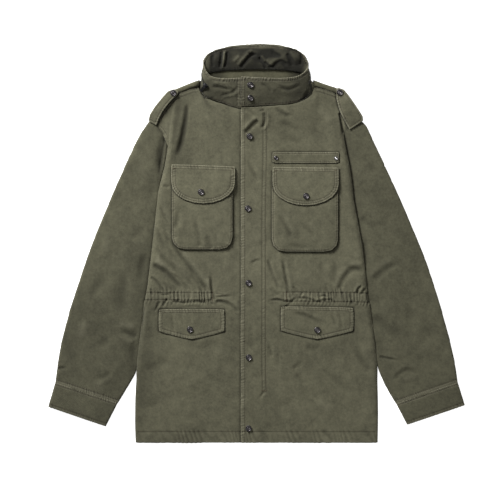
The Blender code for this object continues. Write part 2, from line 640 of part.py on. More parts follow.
def make_back(parts, ground):
    """Make the back: flat on the floor, with its shoulder edges rolled forward."""
    bm = bmesh.new()
    outline = []
    strips = []
    for side in ("right", "left"):
        rolls = []
        for start, inward in shoulder_frames(side):
            points = [start + inward * inset for inset, _ in SHOULDER_PROFILE]
            heights = [height for _, height in SHOULDER_PROFILE]
            rolls.append([bm.verts.new(Vector((p.x, p.y, z)) * MM) for p, z in zip(points, heights)])
        arm = [body_side(side, *armhole_point(side, share)) for share in (0.8, 0.5, 0.2)]
        edge = [bm.verts.new(Vector((x, y, 0.0)) * MM) for x, y in body_edge(side) + arm]
        edge += [roll[0] for roll in rolls]
        strips.append(rolls)
        outline.append(edge)
    neck = [bm.verts.new(Vector((x, y, 0.0)) * MM) for x, y in back_neck()]
    bm.faces.new(outline[0] + neck + list(reversed(outline[1])))
    for rolls in strips:
        for low, high in zip(rolls, rolls[1:]):
            for j in range(len(low) - 1):
                bm.faces.new((low[j], low[j + 1], high[j + 1], high[j]))
    bmesh.ops.recalc_face_normals(bm, faces=bm.faces)
    flat = max(bm.faces, key=lambda face: face.calc_area())
    if flat.normal.z > 0.0:
        bmesh.ops.reverse_faces(bm, faces=bm.faces)
    ground.add(bm)
    obj = new_object("back", bm, cloth_material("back", OLIVE_DARK), parts)
    return add_wall(obj, BACK_WALL)


# ---- sleeves and cuffs ----
ACROSS = (0.12, 0.2, 0.35, 0.5, 0.65, 0.8, 0.9)


def tube_ring(outer, inner, top_z, edge_z):
    """Return one ring of a flattened tube: over the top from its outer to its inner edge, and back."""
    width = math.hypot(inner[0] - outer[0], inner[1] - outer[1])
    round_out = 4.0 / width
    round_in = 3.0 / width
    ring = [(0.3 * round_out, 0.15 * top_z), (0.0, 0.5 * top_z), (0.3 * round_out, 0.85 * top_z)]
    ring += [(round_out, 0.98 * top_z)]
    for share in ACROSS:
        ring.append((share, lerp(top_z, edge_z, ramp(share, 0.72, 1.0))))
    ring += [(1.0 - round_in, edge_z), (1.0 - 0.25 * round_in, 0.78 * edge_z), (1.0, 0.45 * edge_z)]
    ring += [(1.0 - 0.3 * round_in, 0.1 * edge_z), (1.0 - round_in, 0.0)]
    ring += [(0.8, 0.0), (0.5, 0.0), (0.2, 0.0), (round_out, 0.0)]
    return ring


def ring_points(ring, place):
    """Place a ring's (share, height) pairs with a function from share to (x, y)."""
    return [(*place(share), height) for share, height in ring]


def sleeve_rows(side):
    """Return the rings of a sleeve, from the armhole to the cuff."""
    sections = RIGHT_SECTIONS if side == "right" else LEFT_SECTIONS
    ends = RIGHT_SLEEVE_END if side == "right" else LEFT_SLEEVE_END
    folds = SLEEVE_FOLDS_RIGHT if side == "right" else SLEEVE_FOLDS_LEFT
    spans = [((row.out_x, row.out_y), sleeve_side(side, row.fold_x, row.fold_y)) for row in sections]
    spans += [((row.out_x, row.out_y), (row.in_x, row.in_y)) for row in ends]
    rings = []
    for i, (outer, inner) in enumerate(spans):
        t = i / (len(spans) - 1)
        top_z = lerp(7.3, 7.0, t)
        edge_z = lerp(4.0, 5.6, ramp(t, 0.75, 1.0))
        ring = tube_ring(outer, inner, top_z, edge_z)

        def place(share, outer=outer, inner=inner, first=(i == 0)):
            if first:
                return sleeve_side(side, *armhole_point(side, share))
            return lerp(outer[0], inner[0], share), lerp(outer[1], inner[1], share)

        points = ring_points(ring, place)
        if 0 < i < len(spans) - 1:
            points = [lift_fold(point, folds) for point in points]
        rings.append(points)
    return rings


def lift_fold(point, folds):
    """Raise a point of a tube's top by the folds there; its edges and its underside stay."""
    x, y, z = point
    share = ramp(z, 4.0, 6.0)
    return x, y, z + share * fold_height(folds, x, y)


def make_tube(name, rings, side, wall, parts, ground):
    """Make a flattened tube from its rings."""
    bm = grid_mesh(rings, closed=True)
    if side == "right":
        bmesh.ops.reverse_faces(bm, faces=bm.faces)
    ground.add(bm)
    obj = new_object(name, bm, cloth_material(name, OLIVE), parts)
    return add_wall(obj, wall)


def cuff_rows(side):
    """Return the rings of a cuff, from its seam to its open end."""
    start, end = RIGHT_CUFF if side == "right" else LEFT_CUFF
    rings = []
    for t, top_z in ((0.0, 7.2), (0.12, 8.0), (0.5, 8.2), (0.88, 8.0), (1.0, 7.4)):
        outer = (lerp(start.out_x, end.out_x, t), lerp(start.out_y, end.out_y, t))
        inner = (lerp(start.in_x, end.in_x, t), lerp(start.in_y, end.in_y, t))
        ring = tube_ring(outer, inner, top_z, top_z - 1.2)
        rings.append([(lerp(outer[0], inner[0], s), lerp(outer[1], inner[1], s), z) for s, z in ring])
    return rings


# ---- collar, with its zip ----
COLLAR_LEVELS = (0.0, 0.12, 0.35, 0.6, 0.88, 1.0)


def collar_outer(row, share):
    """Return a point of the collar's outer face, bowed a little outwards between seam and top edge."""
    x = lerp(row.seam_x, row.top_x, share)
    y = lerp(row.seam_y, row.top_y, share)
    z = lerp(row.seam_z, row.top_z, share)
    front = ramp(min(row.seam_z, row.top_z), 6.0, 11.0)
    return x, y, z + front * 1.6 * math.sin(math.pi * share)


def collar_normals(points):
    """Return outward directions for rows of collar points, from the runs along and up the band."""
    count = len(points)
    normals = []
    for i, row in enumerate(points):
        line = []
        for j in range(len(row)):
            along = Vector(points[min(i + 1, count - 1)][j]) - Vector(points[max(i - 1, 0)][j])
            up = Vector(row[min(j + 1, len(row) - 1)]) - Vector(row[max(j - 1, 0)])
            line.append(up.cross(along).normalized())
        normals.append(line)
    return normals


def make_collar(parts, ground):
    """Make the collar as one band, its ends overlapping at the fly."""
    rows = smooth_rows(COLLAR, 2)
    outer = [[collar_outer(row, share) for share in COLLAR_LEVELS] for row in rows]
    normals = collar_normals(outer)
    inner = []
    for i, row in enumerate(rows):
        line = []
        for j, share in enumerate(COLLAR_LEVELS):
            swell = math.sin(math.pi * (0.12 + 0.8 * share)) + 0.12 * math.sin(2.3 * i + 4.0 * share)
            thick = COLLAR_WALL + max((row.thick - COLLAR_WALL) * swell, 0.0)
            line.append(tuple(Vector(outer[i][j]) - normals[i][j] * thick))
        inner.append(line)
    bm = wall_between(outer, inner)
    ground.add(bm)
    return new_object("collar", bm, cloth_material("collar", OLIVE), parts)


def make_zip(parts):
    """Make the zip's coil as a narrow band on the collar's outer face, from the slider round the back."""
    places = [ZIP_START] + [0.5 * k for k in range(math.ceil(2.0 * ZIP_START), int(2.0 * ZIP_END) + 1)]
    rows = [smooth_row(COLLAR, place) for place in places]
    length = math.hypot(rows[0].top_x - rows[0].seam_x, rows[0].top_y - rows[0].seam_y)
    half = 0.5 * ZIP_WIDTH / length
    base = [[collar_outer(row, ZIP_SHARE - half), collar_outer(row, ZIP_SHARE + half)] for row in rows]
    normals = collar_normals(base)
    outer = []
    inner = []
    for line, directions in zip(base, normals):
        inner.append([tuple(Vector(p) + n * SEAM) for p, n in zip(line, directions)])
        outer.append([tuple(Vector(p) + n * (SEAM + ZIP_THICK)) for p, n in zip(line, directions)])
    bm = wall_between(outer, inner)
    return new_object("collar_zip", bm, principled("collar_zip", GUNMETAL, 0.5, 0.6), parts)


def collar_frame(place, share):
    """Return a matrix on the collar's outer face: X along the band, Y down to its seam and Z outwards."""
    step = 0.1
    here = Vector(collar_outer(smooth_row(COLLAR, place), share))
    above = Vector(collar_outer(smooth_row(COLLAR, place), share + step))
    onward = Vector(collar_outer(smooth_row(COLLAR, place + step), share))
    behind = Vector(collar_outer(smooth_row(COLLAR, place - step), share))
    along = (onward - behind).normalized()
    out = (above - here).cross(along).normalized()
    turn = Matrix((along, out.cross(along), out)).transposed().to_4x4()
    return Matrix.Translation(here * MM) @ turn


def block(name, size, middle, material, parts):
    """Make a box of a size round a middle, in millimetres."""
    bm = bmesh.new()
    bmesh.ops.create_cube(bm, size=1.0)
    for vert in bm.verts:
        vert.co = Vector((c * s + m) * MM for c, s, m in zip(vert.co, size, middle))
    return new_object(name, bm, material, parts)


def join(obj, other, operation):
    """Add another object to this one, or cut it out, and leave it as a hidden guide."""
    step = obj.modifiers.new(operation.lower(), "BOOLEAN")
    step.operation = operation
    step.object = other
    other.hide_render = True
    other.display_type = "WIRE"
    other.parent = obj


def ring_line(radius, start, stop, count):
    """Return points on an arc round the origin, from one angle to another in degrees."""
    angles = [math.radians(lerp(start, stop, k / count)) for k in range(count + 1)]
    return [(radius * math.cos(angle), radius * math.sin(angle)) for angle in angles]


def make_slider(parts, cutters):
    """Make the zip's slider with its bail, and the pull tab, whose origin is on its hinge."""
    metal = principled("zip_slider", GUNMETAL, 0.35, 0.9)
    length, width, height = SLIDER_SIZE
    axis_z = height + 2.0 * SEAM + PULL_EYE
    top_z = axis_z + 0.5 * BAIL_WIRE
    foot_z = height - SEAM
    bail_size = (BAIL_LENGTH, BAIL_WIRE, top_z - foot_z)
    gap_size = (BAIL_LENGTH - 2.0 * BAIL_POST, width, axis_z - 0.5 * BAIL_WIRE - height - SEAM)
    slider = block("zip_slider", (length, width, height), (0.0, 0.0, 0.5 * height), metal, parts)
    bevel = slider.modifiers.new("edges", "BEVEL")
    bevel.width = 0.3 * height * MM
    bevel.segments = 1
    bail = block("bail", bail_size, (0.0, 0.0, 0.5 * (top_z + foot_z)), metal, cutters)
    gap = block("bail_gap", gap_size, (0.0, 0.0, height + SEAM + 0.5 * gap_size[2]), metal, cutters)
    join(slider, bail, "UNION")
    join(slider, gap, "DIFFERENCE")
    frame = collar_frame(SLIDER_AT, ZIP_SHARE)
    slider.matrix_world = frame @ Matrix.Translation((0.0, 0.0, SLIDER_LIFT * MM))

    side = math.degrees(math.asin(0.5 * PULL_THICK / PULL_EYE))
    outline = ring_line(PULL_EYE, side, 360.0 - side, EYE_STEPS)
    outline += [(PULL_LENGTH, -0.4 * PULL_THICK), (PULL_LENGTH, 0.4 * PULL_THICK)]
    bore = ring_line(PULL_BORE, 0.0, 360.0, EYE_STEPS)[:-1]
    curve = bpy.data.curves.new("zip_pull", "CURVE")
    curve.dimensions = "2D"
    curve.fill_mode = "BOTH"
    curve.extrude = 0.5 * PULL_WIDTH * MM
    for points in (outline, bore):
        spline = curve.splines.new("POLY")
        spline.points.add(len(points) - 1)
        for point, (x, y) in zip(spline.points, points):
            point.co = (x * MM, y * MM, 0.0, 1.0)
        spline.use_cyclic_u = True
    curve.materials.append(principled("zip_pull", GUNMETAL, 0.35, 0.9))
    pull = bpy.data.objects.new("zip_pull", curve)
    parts.objects.link(pull)
    hinge = Matrix.Translation((0.0, 0.0, (SLIDER_LIFT + axis_z) * MM))
    down = Matrix(((0.0, 0.0, 1.0), (1.0, 0.0, 0.0), (0.0, 1.0, 0.0))).to_4x4()
    pull.matrix_world = frame @ hinge @ Matrix.Rotation(math.radians(-PULL_TILT), 4, "X") @ down
    return slider, pull


# ---- pieces that lie on the fronts ----
def columns_between(x1, x2, count):
    """Return positions from x1 to x2, closer together near both ends."""
    middle = 0.5 * (x1 + x2)
    half = 0.5 * (x2 - x1)
    return [middle - half * math.cos(math.pi * k / count) for k in range(count + 1)]


def lay_down(name, lines, wall, reach, parts, ground, puff=None, gap=LIE):
    """Make a sheet from lines of (x, y) down the piece, moved out from what it lies on.

    A piece with a puff stands off by puff(x, y), and its edge turns down again.
    """
    rows = []
    for line in lines:
        row = []
        for x, y in line:
            rise = puff(x, y) if puff else 0.0
            row.append((x, y, ground.height(x, y, reach) + gap + wall + rise))
        rows.append(row)
    bm = grid_mesh(rows)
    bmesh.ops.recalc_face_normals(bm, faces=bm.faces)
    if sum(face.normal.z for face in bm.faces) < 0.0:
        bmesh.ops.reverse_faces(bm, faces=bm.faces)
    if puff:
        skirt(bm, lambda x, y: ground.height(x, y, 2.0) + LIE)
    ground.add(bm)
    obj = new_object(name, bm, cloth_material(name, OLIVE), parts)
    return add_wall(obj, wall)


def patch_lines(patch, columns, rows):
    """Return lines of (x, y) down a patch with rounded lower corners."""
    lines = []
    for x in columns_between(patch.x1, patch.x2, columns):
        over = max(abs(x - 0.5 * (patch.x1 + patch.x2)) - 0.5 * (patch.x2 - patch.x1) + patch.corner, 0.0)
        rise = patch.corner - math.sqrt(max(patch.corner ** 2 - over ** 2, 0.0))
        lines.append([(x, y) for y in columns_between(patch.top, patch.bottom + rise, rows)])
    return lines


def make_chest_pocket(side, parts, ground):
    """Make a chest pocket: a patch whose edges turn down to the front."""
    pocket = CHEST_POCKETS[side]

    def puff(x, y):
        from_edge = min(x - pocket.x1, pocket.x2 - x, y - pocket.bottom)
        return pocket.puff * ramp(from_edge, -14.0, 12.0) * ramp(pocket.top - y, 0.0, 60.0)

    lines = patch_lines(pocket, 10, 10)
    return lay_down(f"chest_pocket_{side}", lines, POCKET_WALL, 4.0, parts, ground, puff)


def flap_lines(flap, columns, rows, pointed, step_y):
    """Return lines of (x, y) down a flap with a round or a pointed lower edge.

    The second point of each line lies at step_y, where the flap climbs onto its pocket.
    """
    lines = []
    middle = 0.5 * (flap.x1 + flap.x2)
    half = 0.5 * (flap.x2 - flap.x1)
    for x in columns_between(flap.x1, flap.x2, columns):
        off = abs(x - middle) / half
        hang = 1.0 - off if pointed else math.sqrt(max(1.0 - off ** 2, 0.0))
        bottom = flap.side + (flap.bottom - flap.side) * hang
        top = lerp(flap.top1, flap.top2, (x - flap.x1) / (flap.x2 - flap.x1))
        lines.append([(x, top)] + [(x, lerp(step_y, bottom, k / rows)) for k in range(rows + 1)])
    return lines


def make_flap(name, flap, pointed, step_y, parts, ground):
    """Make a pocket flap."""
    lines = flap_lines(flap, 10, 5, pointed, step_y)
    return lay_down(name, lines, FLAP_WALL, 8.0, parts, ground, gap=FLAP_LIE)


STRAP_COLUMNS = 3
STRAP_CROWN = 0.5


def make_strap(side, parts, ground):
    """Make a shoulder strap, which bridges from the armhole to its snap."""
    rows = []
    for row in STRAPS[side]:
        shares = [k / STRAP_COLUMNS for k in range(STRAP_COLUMNS + 1)]
        places = [(lerp(row.out_x, row.in_x, t), lerp(row.out_y, row.in_y, t)) for t in shares]
        under = max(ground.height(x, y, 2.0) for x, y in places)
        z = under + LIE + STRAP_WALL + row.lift
        rows.append([(x, y, z + STRAP_CROWN * math.sin(math.pi * t)) for (x, y), t in zip(places, shares)])
    bm = grid_mesh(rows)
    bmesh.ops.recalc_face_normals(bm, faces=bm.faces)
    if sum(face.normal.z for face in bm.faces) < 0.0:
        bmesh.ops.reverse_faces(bm, faces=bm.faces)
    ground.add(bm)
    obj = new_object(f"shoulder_strap_{side}", bm, cloth_material(f"shoulder_strap_{side}", OLIVE), parts)
    return add_wall(obj, STRAP_WALL)


def turned(name, profile, material, parts):
    """Make a turned piece from a profile of (radius, height) pairs that runs from its top to its foot."""
    bm = bmesh.new()
    verts = [bm.verts.new((radius * MM, 0.0, height * MM)) for radius, height in profile]
    for first, second in zip(verts, verts[1:]):
        bm.edges.new((first, second))
    obj = new_object(name, bm, material, parts)
    screw = obj.modifiers.new("turn", "SCREW")
    screw.steps = TURN_STEPS
    screw.render_steps = TURN_STEPS
    screw.use_merge_vertices = True
    screw.merge_threshold = 0.00001
    return obj


def set_on(obj, x, y, radius, ground):
    """Set a turned piece on the cloth under it, tilted as the cloth is and clear of it."""
    reach = radius * 0.8
    slope_x = (ground.height(x + reach, y) - ground.height(x - reach, y)) / (2.0 * reach)
    slope_y = (ground.height(x, y + reach) - ground.height(x, y - reach)) / (2.0 * reach)
    slope_x = max(min(slope_x, 0.35), -0.35)
    slope_y = max(min(slope_y, 0.35), -0.35)
    lift = 0.0
    for k in range(12):
        angle = math.pi * k / 6.0
        dx = radius * math.cos(angle)
        dy = radius * math.sin(angle)
        for share in (0.0, 0.5, 1.0):
            flat = slope_x * dx * share + slope_y * dy * share
            lift = max(lift, ground.height(x + dx * share, y + dy * share) - flat)
    normal = Vector((-slope_x, -slope_y, 1.0)).normalized()
    turn = Vector((0.0, 0.0, 1.0)).rotation_difference(normal).to_matrix().to_4x4()
    obj.matrix_world = Matrix.Translation(Vector((x, y, lift + SEAM)) * MM) @ turn


def main():
    """Build the jacket."""
    for obj in list(bpy.data.objects):
        bpy.data.objects.remove(obj)
    parts = bpy.data.collections.new("field_jacket")
    cutters = bpy.data.collections.new("cutters")
    for collection in (parts, cutters):
        bpy.context.scene.collection.children.link(collection)
    ground = Ground()
    make_back(parts, ground)
    make_front("right", parts, ground)
    make_front("left", parts, ground)
    make_collar(parts, ground)
    for side in ("right", "left"):
        make_tube(f"sleeve_{side}", sleeve_rows(side), side, SLEEVE_WALL, parts, ground)
        make_tube(f"cuff_{side}", cuff_rows(side), side, CUFF_WALL, parts, ground)
        make_chest_pocket(side, parts, ground)
        step_y = CHEST_POCKETS[side].top + 2.5
        make_flap(f"chest_flap_{side}", CHEST_FLAPS[side], False, step_y, parts, ground)
        step_y = LOWER_FLAPS[side].top2 - 9.0
        make_flap(f"lower_flap_{side}", LOWER_FLAPS[side], True, step_y, parts, ground)
        make_strap(side, parts, ground)
    strip = patch_lines(NAME_STRIP, 8, 3)
    lay_down("name_strip", strip, STRIP_WALL, 4.0, parts, ground)
    make_zip(parts)
    make_slider(parts, cutters)
    for snap in SNAPS:
        metal = principled(f"snap_{snap.name}", GUNMETAL, 0.35, 0.9)
        cap = turned(f"snap_{snap.name}", SNAP_PROFILE, metal, parts)
        set_on(cap, snap.x, snap.y, SNAP_PROFILE[-2][0], ground)
    for rivet in RIVETS:
        metal = principled(f"rivet_{rivet.name}", NICKEL, 0.3, 1.0)
        cap = turned(f"rivet_{rivet.name}", RIVET_PROFILE, metal, parts)
        set_on(cap, rivet.x, rivet.y, RIVET_PROFILE[-2][0], ground)


main()
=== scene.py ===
"""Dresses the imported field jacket: folded cotton skins, sewing, snaps, rivets and the collar zip."""

import logging
import math
from collections.abc import Callable, Iterable
from dataclasses import dataclass, field
from enum import Enum

import bmesh
import bpy
import numpy as np
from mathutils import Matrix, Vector
from mathutils.bvhtree import BVHTree


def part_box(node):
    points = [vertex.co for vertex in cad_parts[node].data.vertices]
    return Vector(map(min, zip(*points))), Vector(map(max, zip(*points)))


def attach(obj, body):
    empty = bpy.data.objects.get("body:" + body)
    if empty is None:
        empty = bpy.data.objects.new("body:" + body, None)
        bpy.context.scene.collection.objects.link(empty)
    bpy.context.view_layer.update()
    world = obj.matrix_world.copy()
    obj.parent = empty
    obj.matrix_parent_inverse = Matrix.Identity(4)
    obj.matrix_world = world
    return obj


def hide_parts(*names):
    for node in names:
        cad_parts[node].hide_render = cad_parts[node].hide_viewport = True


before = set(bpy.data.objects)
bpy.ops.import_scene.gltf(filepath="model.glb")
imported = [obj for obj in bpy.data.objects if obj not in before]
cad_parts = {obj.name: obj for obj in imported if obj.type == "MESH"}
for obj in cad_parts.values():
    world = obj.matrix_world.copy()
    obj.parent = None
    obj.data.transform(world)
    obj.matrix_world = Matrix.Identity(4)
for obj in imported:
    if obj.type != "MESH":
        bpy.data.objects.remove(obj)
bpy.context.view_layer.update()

MM = 0.001
JACKET = "jacket"
PULL_TAB = "pull_tab"
log = logging.getLogger("field_jacket")


# ---------------------------------------------------------------- numbers over a surface


def ease(share: np.ndarray) -> np.ndarray:
    """Turn a straight ramp into one that starts and ends softly.

    Args:
        share: Values that are cut to lie between 0 and 1.

    Returns:
        The eased values, from 0 to 1.
    """
    share = np.clip(share, 0.0, 1.0)
    return share * share * (3.0 - 2.0 * share)


def ramp(value: np.ndarray, start: float, end: float) -> np.ndarray:
    """Give a soft ramp, 0 up to the start and 1 from the end on, where the end may be the lower one."""
    return ease((value - start) / (end - start))


def hump(distance: np.ndarray, width: float) -> np.ndarray:
    """Give a soft bell, 1 at no distance and near 0 past twice the width."""
    return np.exp(-((distance / width) ** 2))


def wobble(along: np.ndarray, cell: float, seed: int) -> np.ndarray:
    """Make smooth unevenness along a line.

    Args:
        along: Places along the line, in mm.
        cell: Length over which the value changes, in mm.
        seed: Fixed seed of the unevenness.

    Returns:
        Values between -1 and 1.
    """
    knots = np.random.default_rng(seed).uniform(-1.0, 1.0, 512)
    place = along / cell
    base = np.floor(place).astype(int)
    share = ease(place - base)
    return knots[base % 512] * (1.0 - share) + knots[(base + 1) % 512] * share


def rumple(x: np.ndarray, y: np.ndarray, cell: float, seed: int) -> np.ndarray:
    """Make smooth unevenness over a plane.

    Args:
        x: First coordinates, in mm.
        y: Second coordinates, in mm.
        cell: Size of a patch over which the value changes, in mm.
        seed: Fixed seed of the unevenness.

    Returns:
        Values between -1 and 1.
    """
    grid = np.random.default_rng(seed).uniform(-1.0, 1.0, (97, 97))
    column, row = x / cell, y / cell
    left, low = np.floor(column).astype(int), np.floor(row).astype(int)
    across, up = ease(column - left), ease(row - low)
    bottom = grid[left % 97, low % 97] * (1 - across) + grid[(left + 1) % 97, low % 97] * across
    top = grid[left % 97, (low + 1) % 97] * (1 - across) + grid[(left + 1) % 97, (low + 1) % 97] * across
    return bottom * (1 - up) + top * up


# ---------------------------------------------------------------- lines on the cloth


@dataclass(frozen=True)
class Line:
    """A run over the cloth, as a row of points in mm, in the plane or in space."""

    points: np.ndarray

    @classmethod
    def through(cls, *places: tuple[float, ...], step: float = 3.0) -> "Line":
        """Lay a smooth curve through given places.

        Args:
            places: The places, in mm.
            step: Length between the points of the curve, in mm.

        Returns:
            The curve.
        """
        knots = np.array(places, dtype=float)
        ghosts = np.vstack([2 * knots[0] - knots[1], knots, 2 * knots[-1] - knots[-2]])
        parts = []
        for before, start, end, after in zip(ghosts, ghosts[1:], ghosts[2:], ghosts[3:]):
            count = max(2, int(np.linalg.norm(end - start) / step))
            t = np.linspace(0.0, 1.0, count, endpoint=False)[:, None]
            parts.append(
                0.5
                * (
                    2 * start
                    + (end - before) * t
                    + (2 * before - 5 * start + 4 * end - after) * t**2
                    + (3 * start - before - 3 * end + after) * t**3
                )
            )
        return cls(np.vstack([*parts, knots[-1:]]))

    @property
    def length(self) -> float:
        """Length of the run, in mm."""
        return float(np.linalg.norm(np.diff(self.points, axis=0), axis=1).sum())

    def flat(self) -> "Line":
        """Give the run as seen from straight above."""
        return Line(self.points[:, :2])

    def measure(self, places: np.ndarray, reach: float) -> tuple[np.ndarray, np.ndarray, np.ndarray]:
        """Measure places against the run.

        Args:
            places: Points in as many dimensions as the run, in mm.
            reach: Distance past which a place isn't measured, in mm.

        Returns:
            The distance, the place along the run and the side, 1 to the left of the run and -1 to its right.
        """
        distance = np.full(len(places), np.inf)
        along = np.zeros(len(places))
        side = np.ones(len(places))
        low, high = self.points.min(0) - reach, self.points.max(0) + reach
        near = np.flatnonzero(((places > low) & (places < high)).all(1))
        start, step = self.points[:-1], np.diff(self.points, axis=0)
        size = np.maximum(np.linalg.norm(step, axis=1), 1e-9)
        run = np.concatenate([[0.0], np.cumsum(size)])[:-1]
        for part in np.array_split(near, max(1, len(near) * len(start) // 2_000_000)):
            offset = places[part, None, :] - start[None]
            share = np.clip((offset * step).sum(-1) / size**2, 0.0, 1.0)
            gap = np.linalg.norm(offset - share[..., None] * step, axis=-1)
            best = gap.argmin(1)
            rows = np.arange(len(part))
            distance[part] = gap[rows, best]
            along[part] = run[best] + share[rows, best] * size[best]
            to_place = offset[rows, best]
            turn = step[best, 0] * to_place[:, 1] - step[best, 1] * to_place[:, 0]
            side[part] = np.where(turn >= 0, 1.0, -1.0)
        return distance, along, side

    def even(self, step: float) -> "Line":
        """Give the same run with its points an even step apart.

        Args:
            step: Length between points, in mm.

        Returns:
            The run with even steps.
        """
        run = np.concatenate([[0.0], np.cumsum(np.linalg.norm(np.diff(self.points, axis=0), axis=1))])
        wanted = np.linspace(0.0, run[-1], max(2, round(run[-1] / step) + 1))
        return Line(np.stack([np.interp(wanted, run, column) for column in self.points.T], axis=1))

    def shift(self, offset: float) -> "Line":
        """Give the parallel run in the plane.

        Args:
            offset: Distance to the left, in mm, or to the right below zero.

        Returns:
            The parallel run, without the loops that a tight bend would give it.
        """
        own = self.even(2.0).points
        heading = np.gradient(own, axis=0)[:, :2]
        heading /= np.maximum(np.linalg.norm(heading, axis=1, keepdims=True), 1e-9)
        moved = own.copy()
        moved[:, 0] -= heading[:, 1] * offset
        moved[:, 1] += heading[:, 0] * offset
        gap, _, _ = Line(own[:, :2]).measure(moved[:, :2], abs(offset) + 5.0)
        return Line(moved[gap > abs(offset) * 0.985 - 0.02])


# ---------------------------------------------------------------- folds, puckers and seams


@dataclass(frozen=True)
class Fold:
    """A fold that lies where it is listed.

    Attributes:
        path: Places along the crease, in mm.
        width: Half the width of the trough or ridge, in mm.
        depth: Height in mm, below zero for a trough.
        lean: Share of the depth that rises the other way on the left of the run, or on the right below zero.
        start: Share of the length over which the fold fades in.
        end: Share of the length over which it fades out.
    """

    path: tuple[tuple[float, float], ...]
    width: float
    depth: float
    lean: float = 0.0
    start: float = 0.3
    end: float = 0.3

    def height(self, x: np.ndarray, y: np.ndarray) -> np.ndarray:
        """Give the height that the fold adds.

        Args:
            x: First coordinates, in mm.
            y: Second coordinates, in mm.

        Returns:
            Heights in mm.
        """
        line = Line.through(*self.path)
        gap, along, side = line.measure(np.stack([x, y], axis=1), self.width * 4.5)
        near = np.isfinite(gap)
        share = along[near] / line.length
        signed = gap[near] * side[near]
        shape = hump(signed, self.width)
        if self.lean:
            beside = 1.8 * self.width * math.copysign(1.0, self.lean)
            shape -= abs(self.lean) * hump(signed - beside, self.width * 1.2)
        taper = ease(share / self.start) if self.start else 1.0
        taper = taper * (ease((1.0 - share) / self.end) if self.end else 1.0)
        uneven = 1.0 + 0.3 * wobble(along[near], 22.0, int(abs(self.path[0][0]) * 7 + abs(self.path[0][1])))
        height = np.zeros(len(x))
        height[near] = self.depth * shape * taper * uneven
        return height


def fold_height(folds: Iterable[Fold], x: np.ndarray, y: np.ndarray) -> np.ndarray:
    """Add up the heights of several creases, in mm."""
    return sum((fold.height(x, y) for fold in folds), np.zeros(len(x)))


@dataclass(frozen=True)
class Pucker:
    """The small ridges that sewing draws across a seam.

    Attributes:
        pitch: Distance from ridge to ridge, in mm.
        height: Height of a ridge, in mm.
        start: Offset from the seam's line at which the ridges start, in mm.
        end: Offset at which they end, in mm.
        fade: Length over which they fade at either side, in mm.
        slant: How far a ridge leans along the seam for each mm across it.
    """

    pitch: float = 6.0
    height: float = 0.35
    start: float = 0.0
    end: float = 7.0
    fade: float = 3.0
    slant: float = 0.25

    def shape(self, offset: np.ndarray, along: np.ndarray, seed: int) -> tuple[np.ndarray, np.ndarray]:
        """Give the ridges at places beside a seam.

        Args:
            offset: Distance to the left of the seam's line, in mm.
            along: Place along the line, in mm.
            seed: Fixed seed of their unevenness.

        Returns:
            The mask of the band and the ridges, from -1 to 1, already masked.
        """
        into = (offset - self.start) / self.fade + 1.0
        out = (self.end - offset) / self.fade + 1.0
        mask = ease(into) * ease(out)
        turn = along / self.pitch + 0.8 * wobble(along, self.pitch * 2.3, seed)
        turn = turn + self.slant * offset / self.pitch
        size = 0.55 + 0.45 * wobble(along, self.pitch * 1.7, seed + 1)
        return mask, mask * size * np.cos(2.0 * math.pi * turn)


@dataclass(frozen=True)
class Seam:
    """Sewing along a line: rows of stitches in a groove, with puckers beside them.

    Attributes:
        line: The line that the offsets are measured from.
        rows: Offsets of the rows of stitches to the left of the line, in mm.
        pucker: The ridges across the seam.
        groove: Depth to which a row of stitches draws the cloth in, in mm.
        bead: Height of the rounded lip along the line itself, in mm.
        wear: How far the ridges and the lip are worn pale.
        seed: Fixed seed of the unevenness.
    """

    line: Line
    rows: tuple[float, ...]
    pucker: Pucker = Pucker()
    groove: float = 0.4
    bead: float = 0.0
    wear: float = 1.0
    seed: int = 1


HEM_PUCKER = Pucker(pitch=12.5, height=0.5, start=3.0, end=24.0, fade=7.0, slant=0.45)
EDGE_PUCKER = Pucker(pitch=5.6, height=0.34, start=1.0, end=7.5, fade=2.0)
GATHER_ABOVE = Pucker(pitch=9.5, height=0.7, start=10.0, end=15.0, fade=9.0, slant=0.35)
GATHER_BELOW = Pucker(pitch=8.0, height=0.6, start=-15.0, end=-9.0, fade=6.0, slant=-0.3)
CHANNEL_PUCKER = Pucker(pitch=8.5, height=1.2, start=-9.0, end=9.0, fade=4.0, slant=0.1)
POCKET_PUCKER = Pucker(pitch=5.5, height=0.25, start=0.5, end=5.0, fade=3.0)
FLAP_PUCKER = Pucker(pitch=6.0, height=0.5, start=1.0, end=8.0, fade=2.0)
LOWER_FLAP_PUCKER = Pucker(pitch=6.0, height=0.4, start=0.5, end=7.0, fade=2.5)
STRAP_PUCKER = Pucker(pitch=5.5, height=0.3, start=0.5, end=4.5, fade=2.5)
STRIP_PUCKER = Pucker(pitch=5.0, height=0.2, start=0.5, end=4.0, fade=2.0)
CUFF_PUCKER = Pucker(pitch=4.6, height=0.75, start=0.0, end=6.0, fade=2.0)
